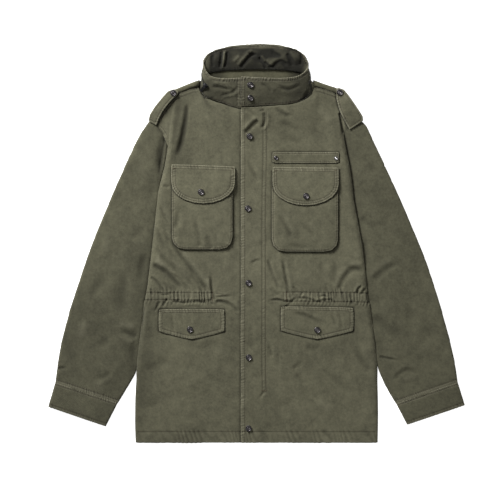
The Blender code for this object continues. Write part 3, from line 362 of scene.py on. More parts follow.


# ---------------------------------------------------------------- creases, each placed one by one


RIGHT_FOLDS = (
    Fold(((-218, 96), (-206, 70), (-196, 48), (-188, 22)), 4.5, -1.6, 0.5),
    Fold(((-222, 40), (-212, 18), (-203, -8), (-192, -32)), 5.5, -1.5, 0.5),
    Fold(
        ((-226, 4), (-214, -16), (-200, -34), (-182, -52), (-166, -72), (-150, -90)),
        5.5, -1.7, 0.5, 0.2, 0.2,
    ),
    Fold(((-190, -60), (-172, -76), (-158, -90), (-148, -104)), 3.5, -1.4, 0.5, 0.3, 0.15),
    Fold(((-150, -60), (-136, -78), (-124, -96), (-118, -106)), 4.0, -1.1, 0.5, 0.4, 0.1),
    Fold(((-223, -104), (-205, -112), (-180, -108)), 2.6, -1.4, 0.4),
    Fold(((-186, -126), (-160, -129), (-130, -127), (-104, -130)), 3.0, -2.2, 0.3, 0.1, 0.2),
    Fold(((-170, -140), (-140, -138), (-110, -142)), 3.5, -1.0, 0.3),
    Fold(((-151, 312), (-155, 275), (-162, 235), (-171, 203), (-181, 178)), 5.0, -2.7, -0.45, 0.12),
    Fold(((-162, 318), (-167, 280), (-167, 235), (-170, 185)), 13.0, -1.7, 0.2, 0.2, 0.2),
    Fold(((-188, 290), (-196, 250), (-200, 200)), 8.0, 1.4, 0.0, 0.4, 0.4),
    Fold(((-124, 335), (-110, 312), (-97, 296), (-84, 287)), 4.5, -1.8, 0.4),
    Fold(((-128, 300), (-112, 270), (-102, 240)), 7.0, -1.0, 0.3),
    Fold(((-78, 276), (-64, 252), (-50, 228)), 6.0, -0.8, 0.3),
    Fold(((-100, 232), (-80, 198), (-62, 180)), 7.0, -0.8, 0.3),
    Fold(((-207, 128), (-197, 126), (-189, 125)), 3.5, -1.4, 0.4, 0.2, 0.4),
    Fold(((-214, 62), (-203, 40), (-196, 5), (-184, -30), (-164, -48)), 5.0, -1.7, 0.45, 0.25, 0.35),
    Fold(
        ((-206, 30), (-190, 10), (-176, -12), (-158, -37), (-138, -62), (-118, -88), (-107, -107)),
        5.0, -2.9, 0.5, 0.3, 0.12,
    ),
    Fold(((-231, -43), (-212, -54), (-194, -67), (-177, -83), (-160, -101)), 5.0, -2.8, 0.5, 0.12, 0.2),
    Fold(((-234, -72), (-219, -83), (-209, -96), (-203, -107)), 3.5, -2.1, 0.4, 0.1, 0.2),
    Fold(((-207, -82), (-197, -94), (-187, -105)), 3.0, -1.1, 0.4),
    Fold(((-152, -78), (-139, -93), (-126, -106)), 3.0, -1.1, 0.4),
    Fold(((-219, -14), (-212, -38), (-200, -58)), 6.0, 1.3),
    Fold(((-101, -62), (-99, -85), (-97, -105), (-92, -124)), 3.2, -2.5, -0.5, 0.4, 0.05),
    Fold(((-233, -98), (-230, -106), (-227, -115)), 2.8, -2.5, 0.4, 0.1),
    Fold(((-91, -126), (-72, -128), (-54, -136), (-37, -151)), 4.0, -2.2, 0.5, 0.1, 0.2),
    Fold(((-90, -118), (-72, -116), (-50, -114)), 3.0, -1.4, 0.4, 0.1, 0.5),
    Fold(((-97, -117), (-101, -127), (-92, -135)), 2.6, -2.2, 0.4, 0.1),
    Fold(((-196, -120), (-202, -130), (-207, -140)), 2.6, -2.1, 0.4, 0.1, 0.4),
    Fold(((-212, -126), (-218, -138), (-224, -150)), 2.8, -2.1, 0.4, 0.1, 0.4),
    Fold(((-247, -135), (-251, -160), (-253, -200)), 4.0, -1.7, 0.5, 0.2, 0.5),
    Fold(((-236, -178), (-231, -195), (-226, -212)), 5.0, -1.1, 0.4),
    Fold(((-256, -285), (-232, -272), (-205, -260), (-175, -250)), 11.0, -1.5, 0.4, 0.35, 0.4),
    Fold(((-170, -275), (-148, -268), (-128, -262)), 8.0, -0.7, 0.3),
    Fold(((-110, -290), (-85, -300), (-60, -312)), 9.0, -0.8, 0.3),
    Fold(((-190, -320), (-150, -330), (-110, -322)), 12.0, -0.8, 0.3),
    Fold(((-250, -350), (-225, -352), (-200, -345)), 9.0, -0.8, 0.3),
    Fold(((-95, -230), (-75, -240), (-52, -243)), 8.0, 0.8),
    Fold(((-160, -222), (-120, -226), (-80, -215)), 8.0, -0.8, 0.3),
)

LEFT_FOLDS = (
    Fold(((22, -8), (34, -34), (46, -62), (60, -90)), 5.0, -1.2, 0.5, 0.3, 0.2),
    Fold(((80, -92), (86, -102), (90, -110)), 3.0, -1.2, 0.4),
    Fold(((196, -40), (206, -52), (222, -54), (236, -46)), 5.0, -1.5, 0.5, 0.3, 0.1),
    Fold(((150, -92), (156, -101), (158, -110)), 3.0, -1.2, 0.4),
    Fold(((184, -96), (188, -104), (190, -112)), 3.0, -1.3, 0.4),
    Fold(((206, -20), (214, -34), (232, -40)), 6.0, -0.9, 0.4, 0.3, 0.1),
    Fold(((6, 272), (-5, 264), (-15, 254), (-26, 241)), 4.2, -2.8, -0.5, 0.15, 0.25),
    Fold(((17, 291), (19, 274), (16, 260), (7, 252)), 3.2, -2.2, 0.5, 0.15),
    Fold(((-24, 296), (-10, 287), (3, 276)), 3.5, -1.1, 0.4),
    Fold(((6, 294), (12, 292), (18, 294)), 2.5, -1.3, 0.4),
    Fold(((42, 300), (52, 291), (64, 283), (82, 279)), 4.2, -2.4, 0.5, 0.1, 0.4),
    Fold(((46, 268), (62, 262), (82, 256), (104, 245)), 5.5, -1.1, 0.4),
    Fold(((54, 236), (74, 228), (104, 221)), 6.0, -1.1, 0.4),
    Fold(((124, 255), (145, 238), (162, 220)), 7.0, -1.0, 0.4),
    Fold(((130, 300), (150, 285), (168, 262)), 9.0, 1.0),
    Fold(((182, 289), (187, 268), (190.5, 248)), 2.6, -3.4, 0.3, 0.1, 0.0),
    Fold(((176, 280), (180, 240), (186, 190)), 9.0, -1.1, 0.2, 0.2, 0.4),
    Fold(((-23, 192), (-9, 163), (6, 134)), 5.0, -1.7, 0.4),
    Fold(((-12, 214), (0, 196), (8, 180)), 5.0, -0.8, 0.3),
    Fold(((-18, 60), (-12, 48), (-2, 35)), 6.0, -0.8, 0.3),
    Fold(((-12, -46), (-2, -37), (11, -38)), 3.5, -1.4, 0.4),
    Fold(((24, -32), (33, -58), (43, -82), (52, -103)), 4.0, -2.1, 0.5, 0.15, 0.2),
    Fold(((42, -6), (45, -35), (49, -60)), 5.0, -0.8, 0.3),
    Fold(((57, -28), (62, -58), (67, -85), (72, -112)), 4.0, -2.1, 0.5, 0.3, 0.1),
    Fold(((140, -28), (143, -62), (138, -98)), 8.0, -1.0, 0.3),
    Fold(((171, -30), (173, -62), (168, -98)), 6.5, -1.5, 0.3),
    Fold(((180, -103), (190, -80), (203, -62), (216, -54), (237, -62)), 5.5, -2.5, 0.5, 0.12, 0.1),
    Fold(((221, -108), (224, -98), (232, -92)), 2.6, -2.5, 0.5, 0.1, 0.2),
    Fold(((230, -112), (234, -103), (240, -97)), 2.4, -2.2, 0.5, 0.1, 0.2),
    Fold(((102, -106), (97, -114), (95, -121)), 2.4, -1.3, 0.5, 0.1, 0.2),
    Fold(((24, -125), (45, -123), (62, -126), (76, -127)), 2.8, -1.5, 0.5, 0.35, 0.05),
    Fold(((58, -143), (70, -134), (80, -124), (88, -119)), 2.6, -1.5, 0.5, 0.2, 0.1),
    Fold(
        ((88, -120), (105, -119), (118, -122), (134, -127), (150, -123), (166, -124), (180, -137)),
        2.6, -1.4, 0.4, 0.1, 0.15,
    ),
    Fold(((136, -118), (148, -114), (160, -119)), 2.4, -1.2, 0.4),
    Fold(((205, -106), (208, -122), (213, -138)), 3.0, -1.8, 0.4),
    Fold(((28, -95), (40, -108), (55, -113)), 4.0, -1.1, 0.4),
    Fold(((24, -222), (31, -236), (36, -250)), 4.5, -1.4, 0.4),
    Fold(((46, -240), (48, -258), (45, -275)), 5.0, -1.1, 0.3),
    Fold(((77, -281), (84, -273), (97, -262), (106, -250)), 5.0, -1.0, 0.5, 0.3, 0.5),
    Fold(((84, -284), (95, -295), (106, -312)), 5.0, -1.3, 0.4),
    Fold(((108, -224), (122, -231), (140, -227)), 6.0, -1.3, 0.3),
    Fold(((140, -278), (165, -290), (190, -312), (205, -335)), 10.0, -1.3, 0.4),
    Fold(((215, -230), (232, -256), (250, -285)), 8.0, -1.5, 0.4, 0.3, 0.2),
    Fold(((17, -325), (10, -334), (4, -342)), 3.2, -1.2, 0.5, 0.1, 0.6),
    Fold(((-14, -295), (2, -290), (12, -300)), 6.0, -1.0, 0.3),
    Fold(((40, -345), (60, -352), (90, -348)), 8.0, -0.8, 0.3),
    Fold(((130, -340), (150, -355), (178, -362)), 10.0, 1.0),
    Fold(((-30, -210), (-12, -225), (-2, -215)), 5.0, -0.8, 0.3),
    Fold(((60, -50), (100, -62), (125, -72)), 9.0, -0.7, 0.3),
)

RIGHT_POCKET_FOLDS = (
    Fold(((-171, 80), (-174, 52), (-181, 26)), 6.0, -1.3, 0.4),
    Fold(((-136, 60), (-131, 36), (-126, 14), (-123, -8)), 6.0, -1.5, 0.4, 0.3, 0.1),
    Fold(((-112, 20), (-104, 4), (-97, -11)), 5.0, -1.3, 0.4, 0.3, 0.1),
    Fold(((-90, 30), (-88, 10), (-86, -8)), 5.0, -0.8, 0.3, 0.3, 0.1),
    Fold(((-185, 17), (-178, 15), (-172, 16)), 3.0, -0.8, 0.3),
)

LEFT_POCKET_FOLDS = (
    Fold(((46, 64), (57, 52), (68, 34), (79, 12)), 5.0, -2.0, 0.5, 0.2, 0.2),
    Fold(((103, 42), (115, 30), (132, 14)), 6.0, -1.3, 0.4),
    Fold(((149, 78), (156, 66), (164, 54)), 5.0, -1.0, 0.4),
    Fold(((60, 0), (90, -6), (120, -8)), 5.0, -0.7, 0.3),
)

RIGHT_FLAP_FOLDS = (
    Fold(((-187, -146), (-184, -170), (-180, -195)), 3.5, -1.0, 0.4),
    Fold(((-166, -146), (-163, -165), (-160, -185)), 3.5, -0.9, 0.4),
    Fold(((-150, -146), (-146, -162), (-141, -180)), 3.5, -0.8, 0.4),
)

LEFT_FLAP_FOLDS = (
    Fold(((72, -150), (102, -156), (130, -168), (154, -182)), 4.5, -1.2, 0.5),
    Fold(((165, -146), (170, -164), (176, -184)), 3.5, -0.9, 0.4),
    Fold(((180, -146), (185, -166), (191, -190)), 3.5, -0.9, 0.4),
)

RIGHT_SLEEVE_FOLDS = (
    Fold(((-206, 244), (-210, 215), (-213, 180), (-214, 140)), 7.0, -2.4, 0.2, 0.15, 0.4),
    Fold(((-200, 240), (-204, 212), (-209, 180), (-214, 146)), 3.4, -3.0, 0.2, 0.1, 0.35),
    Fold(((-246, -20), (-254, -60), (-262, -98)), 10.0, -1.6, 0.2, 0.2, 0.4),
    Fold(((-286, -50), (-292, -85), (-297, -125), (-296, -160)), 13.0, -1.7, 0.3, 0.35, 0.35),
    Fold(((-306, -176), (-286, -180), (-262, -184)), 8.0, 1.6),
    Fold(((-262, -206), (-274, -200), (-288, -194), (-304, -186)), 7.0, -2.2, 0.5, 0.15, 0.4),
    Fold(((-330, -200), (-336, -214), (-340, -232)), 11.0, -2.0, 0.2, 0.35, 0.35),
    Fold(((-268, -215), (-272, -245), (-270, -278), (-284, -308)), 10.0, -1.8, 0.2, 0.2, 0.4),
    Fold(((-318, -284), (-332, -290), (-350, -298), (-368, -304)), 5.5, -1.8, 0.4, 0.15, 0.5),
    Fold(((-442, -276), (-428, -273), (-412, -272)), 3.6, -1.6, 0.4, 0.05, 0.5),
    Fold(((-428, -190), (-420, -220), (-402, -250), (-378, -262)), 15.0, -1.5, 0.2, 0.35, 0.35),
    Fold(((-372, -160), (-380, -190), (-378, -215)), 12.0, 1.2, 0.0, 0.4, 0.4),
    Fold(((-229, 145), (-231, 118), (-233, 88)), 9.0, -1.1, 0.3),
    Fold(((-302, 14), (-304, -8), (-307, -32)), 10.0, -0.9, 0.3),
    Fold(((-247, 40), (-262, 22), (-282, 12)), 10.0, -1.0, 0.4, 0.1, 0.4),
    Fold(((-330, -60), (-345, -90), (-372, -118)), 12.0, -1.1, 0.3),
    Fold(((-250, 190), (-268, 168), (-280, 140)), 12.0, -1.1, 0.3),
    Fold(((-318, -20), (-330, -10), (-322, 14)), 9.0, 0.9),
    Fold(((-352, -290), (-340, -318), (-330, -330)), 8.0, 1.0),
)

LEFT_SLEEVE_FOLDS = (
    Fold(((318, -39), (292, -51), (269, -68), (254, -83)), 6.5, -2.1, -0.5, 0.4, 0.15),
    Fold(((249, -152), (277, -174), (312, -200), (350, -214)), 12.0, -1.5, 0.3, 0.2, 0.4),
    Fold(((269, -248), (295, -253), (314, -257)), 3.4, -1.8, 0.5, 0.1, 0.5),
    Fold(((301, -303), (315, -285), (335, -277), (364, -288)), 5.0, -1.4, 0.4, 0.2, 0.4),
    Fold(((322, -302), (338, -294), (354, -300)), 6.0, 1.1),
    Fold(((346, -35), (354, -66), (360, -100)), 14.0, -0.9, 0.2, 0.35, 0.35),
    Fold(((330, -112), (337, -165), (338, -222)), 12.0, -0.9, 0.2),
    Fold(((268, -205), (276, -232), (284, -262)), 10.0, -1.1, 0.2, 0.2, 0.4),
    Fold(((250, -118), (262, -126), (280, -130)), 8.0, -1.1, 0.3, 0.1, 0.4),
    Fold(((372, -160), (380, -196), (378, -236)), 13.0, -0.9, 0.2, 0.35, 0.35),
    Fold(((352, -240), (372, -226), (392, -206)), 9.0, 0.9),
    Fold(((232, 60), (252, 42), (276, 32)), 10.0, -1.1, 0.4, 0.1, 0.4),
    Fold(((236, 20), (240, -20), (246, -60)), 10.0, -1.2, 0.2),
    Fold(((235, 200), (252, 176), (262, 150)), 12.0, -1.1, 0.3),
    Fold(((224, 130), (240, 112), (258, 104)), 10.0, -0.9, 0.4, 0.1, 0.4),
)

COLLAR_FOLDS = (
    Fold(((-101, 346), (-76, 342), (-53, 336)), 3.5, -2.1, 0.5),
    Fold(((-101, 355), (-80, 353), (-58, 350)), 3.0, 1.3),
    Fold(((-82, 324), (-56, 330), (-46, 338), (-39, 347)), 4.0, -2.1, -0.5),
    Fold(((-76, 316), (-62, 320), (-48, 322)), 3.5, -1.1, 0.4),
    Fold(((8, 352), (25, 342), (36, 328)), 4.0, -2.0, 0.5),
    Fold(((34, 354), (68, 347), (96, 356)), 3.5, 1.3),
    Fold(((44, 345), (70, 338), (102, 350)), 3.5, -1.8),
    Fold(((84, 302), (100, 312), (112, 330), (118, 346)), 4.0, -1.4, 0.4),
    Fold(((-76, 427), (-77, 410), (-80, 385)), 3.4, -3.6, 0.5, 0.2, 0.1),
    Fold(((-64, 425), (-66, 405), (-71, 386)), 3.2, -3.2, -0.5, 0.2, 0.1),
    Fold(((-94, 420), (-97, 405), (-95, 388)), 3.5, -2.0, 0.4, 0.3, 0.1),
    Fold(((-36, 386), (-27, 398), (-17, 409), (-2, 423)), 4.0, -3.2, 0.6, 0.1, 0.25),
    Fold(((-54, 398), (-44, 406), (-34, 416)), 4.5, 2.4),
    Fold(((-20, 424), (-10, 416), (2, 416)), 3.0, -2.2, 0.4),
    Fold(((4, 412), (12, 401), (17, 393), (22, 385)), 3.2, -3.2, 0.5, 0.2, 0.1),
    Fold(((17, 402), (25, 394), (34, 387)), 3.0, -2.6, 0.5, 0.2, 0.1),
    Fold(((32, 385), (42, 395), (53, 401), (70, 391)), 4.2, -2.8, 0.5, 0.1, 0.2),
    Fold(((30, 424), (44, 415), (58, 409)), 4.5, -2.0, 0.4),
    Fold(((66, 420), (74, 408), (80, 390)), 4.5, -3.2, 0.5, 0.2, 0.1),
    Fold(((97, 421), (99, 408), (97, 392)), 3.4, -2.4, 0.4, 0.2, 0.1),
)


# ---------------------------------------------------------------- skins


# Distance in mm at which two vertices are one, and bends in degrees: nearly flat, sharp, and past any bend.
DOUBLES = 0.002
FLAT_BEND = 6.0
SHARP_BEND = 58.0
ANY_BEND = 181.0
# Length in mm over which a seam fades in from an open end.
OPEN_END = 3.0


class Layer(Enum):
    """Which faces of a solid become cloth."""

    WHOLE = "whole"
    UPPER = "upper"
    TOP_AND_SIDES = "top and sides"
    OUTSIDE = "outside"


def edges_of(faces: np.ndarray) -> np.ndarray:
    """Give the edges of triangles from start to end: every first edge, every second and every third."""
    return np.concatenate([faces[:, [0, 1]], faces[:, [1, 2]], faces[:, [2, 0]]])


def face_normals(points: np.ndarray, faces: np.ndarray) -> tuple[np.ndarray, np.ndarray]:
    """Measure triangles.

    Args:
        points: Places of the vertices.
        faces: Triangles.

    Returns:
        Each triangle's unit normal and its area.
    """
    cross = np.cross(points[faces[:, 1]] - points[faces[:, 0]], points[faces[:, 2]] - points[faces[:, 0]])
    size = np.linalg.norm(cross, axis=1)
    return cross / np.maximum(size, 1e-12)[:, None], size / 2.0


def smooth_patches(faces: np.ndarray, normals: np.ndarray, turn: float) -> np.ndarray:
    """Group triangles that meet without a sharp bend.

    Args:
        faces: Triangles.
        normals: Their unit normals.
        turn: Angle between neighbours, in degrees, past which they are parted.

    Returns:
        A group number for each triangle.
    """
    edges = np.sort(edges_of(faces), axis=1)
    owner = np.tile(np.arange(len(faces)), 3)
    key = edges[:, 0] * (faces.max() + 1) + edges[:, 1]
    order = np.argsort(key, kind="stable")
    paired = key[order][1:] == key[order][:-1]
    first, second = owner[order][:-1][paired], owner[order][1:][paired]
    joined = (normals[first] * normals[second]).sum(1) > math.cos(math.radians(turn))
    first, second = first[joined], second[joined]
    group = np.arange(len(faces))
    while True:
        lower = group.copy()
        least = np.minimum(group[first], group[second])
        np.minimum.at(lower, first, least)
        np.minimum.at(lower, second, least)
        lower = lower[lower]
        if (lower == group).all():
            return group
        group = lower


@dataclass
class Skin:
    """One layer of cloth as plain arrays, in mm of the frame.

    Attributes:
        points: Places of the vertices.
        faces: Triangles.
        wear: How pale each vertex is worn.
        painted_shade: How much shade is painted on each vertex, in grooves, troughs and hollows and under the
            rims of other pieces.
    """

    points: np.ndarray
    faces: np.ndarray
    wear: np.ndarray = field(default_factory=lambda: np.zeros(0))
    painted_shade: np.ndarray = field(default_factory=lambda: np.zeros(0))

    @classmethod
    def of_node(cls, node: str, layer: Layer) -> "Skin":
        """Copy the cloth of a solid in the frame.

        Args:
            node: Name of the solid.
            layer: Which of its faces are kept.

        Returns:
            The skin, with its doubles merged.
        """
        shape = bmesh.new()
        shape.from_mesh(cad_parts[node].data)
        bmesh.ops.remove_doubles(shape, verts=shape.verts, dist=DOUBLES * MM)
        bmesh.ops.triangulate(shape, faces=shape.faces)
        flat = math.radians(FLAT_BEND)
        level = [edge for edge in shape.edges if edge.is_manifold and edge.calc_face_angle() < flat]
        bmesh.ops.beautify_fill(shape, faces=shape.faces, edges=level, method="ANGLE")
        points = np.array([vert.co for vert in shape.verts]) / MM
        faces = np.array([[vert.index for vert in face.verts] for face in shape.faces])
        shape.free()
        skin = cls(points, faces)
        normals, _ = face_normals(points, faces)
        if layer is Layer.UPPER:
            skin.keep(normals[:, 2] > -0.05)
            skin.keep_largest(ANY_BEND)
        elif layer is Layer.TOP_AND_SIDES:
            skin.keep(normals[:, 2] > -0.5)
            skin.keep_largest(ANY_BEND)
        elif layer is Layer.OUTSIDE:
            skin.keep_largest(SHARP_BEND)
        return skin

    def keep(self, kept: np.ndarray) -> None:
        """Keep some triangles and only the vertices that they use.

        Args:
            kept: True or False for each triangle, or the numbers of those to keep.
        """
        faces = self.faces[kept]
        used, index = np.unique(faces, return_inverse=True)
        self.points, self.faces = self.points[used], index.reshape(-1, 3)

    def keep_largest(self, turn: float) -> None:
        """Keep the largest patch whose triangles meet without a sharp bend.

        Args:
            turn: Angle in degrees past which neighbours are parted.
        """
        normals, areas = face_normals(self.points, self.faces)
        group = smooth_patches(self.faces, normals, turn)
        self.keep(group == np.bincount(group, weights=areas).argmax())

    def refine(self, coarse: float, fine: float = 0.0, near: Iterable[tuple[Line, float]] = ()) -> None:
        """Split long edges until the cloth is fine enough for its form, and finer near its sewing.

        Args:
            coarse: Longest edge anywhere, in mm.
            fine: Longest edge near the lines, in mm.
            near: Lines, each with the distance within which the cloth is fine, in mm.
        """
        for _ in range(14):
            points, faces = self.points, self.faces
            edges = np.sort(edges_of(faces), axis=1)
            key = edges[:, 0] * len(points) + edges[:, 1]
            _, first, owner = np.unique(key, return_index=True, return_inverse=True)
            ends = points[edges[first]]
            middle = ends.mean(1)
            length = np.linalg.norm(ends[:, 0] - ends[:, 1], axis=1)
            long = length > coarse
            maybe = np.flatnonzero(~long & (length > fine)) if fine else np.zeros(0, dtype=int)
            for line, reach in near if len(maybe) else ():
                gap, _, _ = line.measure(middle[maybe][:, : line.points.shape[1]], reach)
                long[maybe[gap < reach]] = True
            if not long.any():
                return
            index = np.full(len(first), -1)
            index[long] = len(points) + np.arange(long.sum())
            self.points = np.vstack([points, middle[long]])
            cut = index[owner.reshape(3, -1).T]
            made = [faces[(cut < 0).all(1)]]
            for turned in range(3):
                corner = np.roll(faces, -turned, axis=1)
                split = np.roll(cut, -turned, axis=1)
                (a, b, c), (ab, bc, ca) = corner.T, split.T
                one = (ab >= 0) & (bc < 0) & (ca < 0)
                made += [np.stack([a, ab, c], 1)[one], np.stack([ab, b, c], 1)[one]]
                two = (ab >= 0) & (bc >= 0) & (ca < 0)
                short = np.linalg.norm(self.points[ab] - self.points[c], axis=1)
                short = short < np.linalg.norm(self.points[a] - self.points[bc], axis=1)
                made.append(np.stack([ab, b, bc], 1)[two])
                made += [np.stack([a, ab, c], 1)[two & short], np.stack([ab, bc, c], 1)[two & short]]
                made += [np.stack([a, ab, bc], 1)[two & ~short], np.stack([a, bc, c], 1)[two & ~short]]
            (a, b, c), (ab, bc, ca) = faces.T, cut.T
            three = (cut >= 0).all(1)
            for triangle in ((a, ab, ca), (ab, b, bc), (ca, bc, c), (ab, bc, ca)):
                made.append(np.stack(triangle, 1)[three])
            self.faces = np.vstack(made)

    def border(self) -> tuple[np.ndarray, np.ndarray]:
        """Find the open edges.

        Returns:
            Their starts and their ends, in the direction of their faces.
        """
        directed = edges_of(self.faces)
        size = len(self.points)
        key = directed[:, 0] * size + directed[:, 1]
        back = directed[:, 1] * size + directed[:, 0]
        free = ~np.isin(key, back)
        return directed[free, 0], directed[free, 1]

    def loops(self) -> list[np.ndarray]:
        """Chain the open edges into closed rows.

        Returns:
            The vertex numbers of each row, the longest row first.
        """
        follows: dict[int, list[int]] = {}
        for start, end in zip(*self.border()):
            follows.setdefault(int(start), []).append(int(end))
        found = []
        while follows:
            row = [next(iter(follows))]
            while row[-1] in follows:
                step = follows[row[-1]].pop()
                if not follows[row[-1]]:
                    del follows[row[-1]]
                if step == row[0]:
                    break
                row.append(step)
            found.append(np.array(row))
        return sorted(found, key=len, reverse=True)

    def edge(self, start: tuple[float, ...], end: tuple[float, ...], via: tuple[float, ...]) -> Line:
        """Give the run along the rim between two places, with the cloth on its left as seen from outside.

        Args:
            start: Place near one end of the run, in mm.
            end: Place near its other end.
            via: A place that it passes.

        Returns:
            The run.
        """
        size = len(start)
        for row in self.loops():
            rim = self.points[row]
            near = [np.linalg.norm(rim[:, :size] - np.array(place), axis=1) for place in (start, end, via)]
            if max(gap.min() for gap in near) < 25.0:
                break
        rim = np.roll(rim, -near[0].argmin(), axis=0)
        last = np.linalg.norm(rim[:, :size] - np.array(end), axis=1).argmin()
        ways = [rim[: last + 1], np.vstack([rim[last:], rim[:1]])]
        gaps = [np.linalg.norm(way[:, :size] - np.array(via), axis=1).min() for way in ways]
        return Line(ways[int(np.argmin(gaps))])

    def links(self) -> tuple[np.ndarray, np.ndarray]:
        """Pair each vertex with its neighbours, along the rim alone for a vertex on it.

        Returns:
            The vertices that take part, and for each one a neighbour.
        """
        edges = np.sort(edges_of(self.faces), axis=1)
        _, first = np.unique(edges[:, 0] * len(self.points) + edges[:, 1], return_index=True)
        edges = edges[first]
        start, end = self.border()
        rim = np.zeros(len(self.points), dtype=bool)
        rim[start] = rim[end] = True
        inner = edges[~(rim[edges[:, 0]] | rim[edges[:, 1]])]
        mixed = edges[rim[edges[:, 0]] ^ rim[edges[:, 1]]]
        free = np.where(rim[mixed[:, 0]], mixed[:, 1], mixed[:, 0])
        into = np.concatenate([inner[:, 0], inner[:, 1], free, start, end])
        out = np.concatenate([inner[:, 1], inner[:, 0], mixed.sum(1) - free, end, start])
        return into, out

    def relax(self, rounds: int, most: float) -> None:
        """Melt the solid's facets into a smooth form.

        Args:
            rounds: Rounds of averaging.
            most: Furthest that a vertex may move, in mm.
        """
        into, out = self.links()
        size = len(self.points)
        count = np.maximum(np.bincount(into, minlength=size), 1)
        before = self.points.copy()
        now = self.points.copy()
        for _ in range(rounds):
            sums = [np.bincount(into, weights=now[out, axis], minlength=size) for axis in range(3)]
            total = np.stack(sums, axis=1)
            now = now + 0.5 * (total / count[:, None] - now)
            move = now - before
            length = np.linalg.norm(move, axis=1, keepdims=True)
            now = before + move * np.minimum(1.0, most / np.maximum(length, 1e-9))
        self.points = now

    def normals(self) -> np.ndarray:
        """Average the normals of the triangles round each vertex.

        Returns:
            Each vertex's unit normal.
        """
        normals, areas = face_normals(self.points, self.faces)
        weighted = normals * areas[:, None]
        size = len(self.points)
        total = np.zeros((size, 3))
        for corner in self.faces.T:
            for axis in range(3):
                total[:, axis] += np.bincount(corner, weights=weighted[:, axis], minlength=size)
        return total / np.maximum(np.linalg.norm(total, axis=1, keepdims=True), 1e-12)

    def start_marks(self) -> None:
        """Clear the wear and the painted shade before folds and seams write them."""
        self.wear = np.zeros(len(self.points))
        self.painted_shade = np.zeros(len(self.points))

    def press(self, height: np.ndarray) -> None:
        """Move the cloth along its normals.

        Args:
            height: How far each vertex moves, in mm.
        """
        self.points = self.points + self.normals() * height[:, None]

    def sew(self, seam: Seam, mask: np.ndarray | None = None) -> None:
        """Draw the cloth in along a seam.

        Args:
            seam: The seam.
            mask: Share of the seam's effect at each vertex, or none for all of it.
        """
        size = seam.line.points.shape[1]
        reach = max([seam.pucker.end + seam.pucker.fade, seam.pucker.fade - seam.pucker.start, 5.0])
        reach = max([reach, *[abs(row) + 4.0 for row in seam.rows]])
        gap, along, side = seam.line.measure(self.points[:, :size], reach)
        near = np.flatnonzero(np.isfinite(gap) & (gap < reach))
        if mask is not None:
            near = near[mask[near] > 0.02]
        offset = gap[near] * side[near] if size == 2 else gap[near]
        band, ridges = seam.pucker.shape(offset, along[near], seam.seed)
        rows = sum((hump(offset - row, 1.2) for row in seam.rows), np.zeros(len(near)))
        lip = hump(offset, 2.0)
        share = mask[near] if mask is not None else np.ones(len(near))
        if np.linalg.norm(seam.line.points[0] - seam.line.points[-1]) > 5.0:
            share = share * ease(along[near] / OPEN_END) * ease((seam.line.length - along[near]) / OPEN_END)
        height = np.zeros(len(self.points))
        height[near] = share * (seam.pucker.height * ridges - seam.groove * rows + seam.bead * lip)
        self.press(height)
        rubbed = 0.35 * band + 0.45 * np.maximum(ridges, 0) + 0.5 * lip * (seam.bead > 0)
        self.wear[near] += share * seam.wear * rubbed
        # Painted shade in the grooves of the rows and in the troughs between the puckers.
        dark = 0.35 + 0.4 * max(0.0, seam.pucker.height - 0.5)
        self.painted_shade[near] += share * (0.6 * np.minimum(rows, 1.0) + dark * np.maximum(-ridges, 0))

    def part_sides(self) -> None:
        """Part the under half from the upper half, along the side seams of the flat cut."""
        normals, _ = face_normals(self.points, self.faces)
        under = normals[:, 2] < 0
        shared = np.intersect1d(self.faces[under], self.faces[~under])
        copies = np.arange(len(self.points))
        copies[shared] = len(self.points) + np.arange(len(shared))
        self.faces[under] = copies[self.faces[under]]
        self.points = np.vstack([self.points, self.points[shared]])
        self.wear = np.concatenate([self.wear, self.wear[shared]])
        self.painted_shade = np.concatenate([self.painted_shade, self.painted_shade[shared]])

    def shade_beside(self, line: Line, width: float, dark: float, dip: float) -> None:
        """Paint shade on the cloth and lower it where the rim of another piece lies on it.

        Args:
            line: The rim, seen from above.
            width: Half the width of the dark band, in mm.
            dark: Strength of the painted shade at the rim itself, from 0 to 1.
            dip: Depth of the hollow, in mm.
        """
        gap, _, _ = line.measure(self.points[:, :2], 4 * width)
        shade = np.where(np.isfinite(gap), hump(gap, width), 0.0)
        upper = ease(self.normals()[:, 2] * 2.0)
        # Painted shade, on the side that faces up.
        self.painted_shade += dark * shade * upper
        self.press(-dip * shade * upper)

    def tree(self) -> BVHTree:
        """Give a search tree of the finished surface, in mm."""
        return BVHTree.FromPolygons(self.points.tolist(), self.faces.tolist())


def new_object(name: str, data: bpy.types.ID) -> bpy.types.Object:
    """Put an object into the scene, at the origin.

    Args:
        name: Name of the object.
        data: Its mesh, light or camera.

    Returns:
        The new object.
    """
    thing = bpy.data.objects.new(name, data)
    bpy.context.scene.collection.objects.link(thing)
    return thing


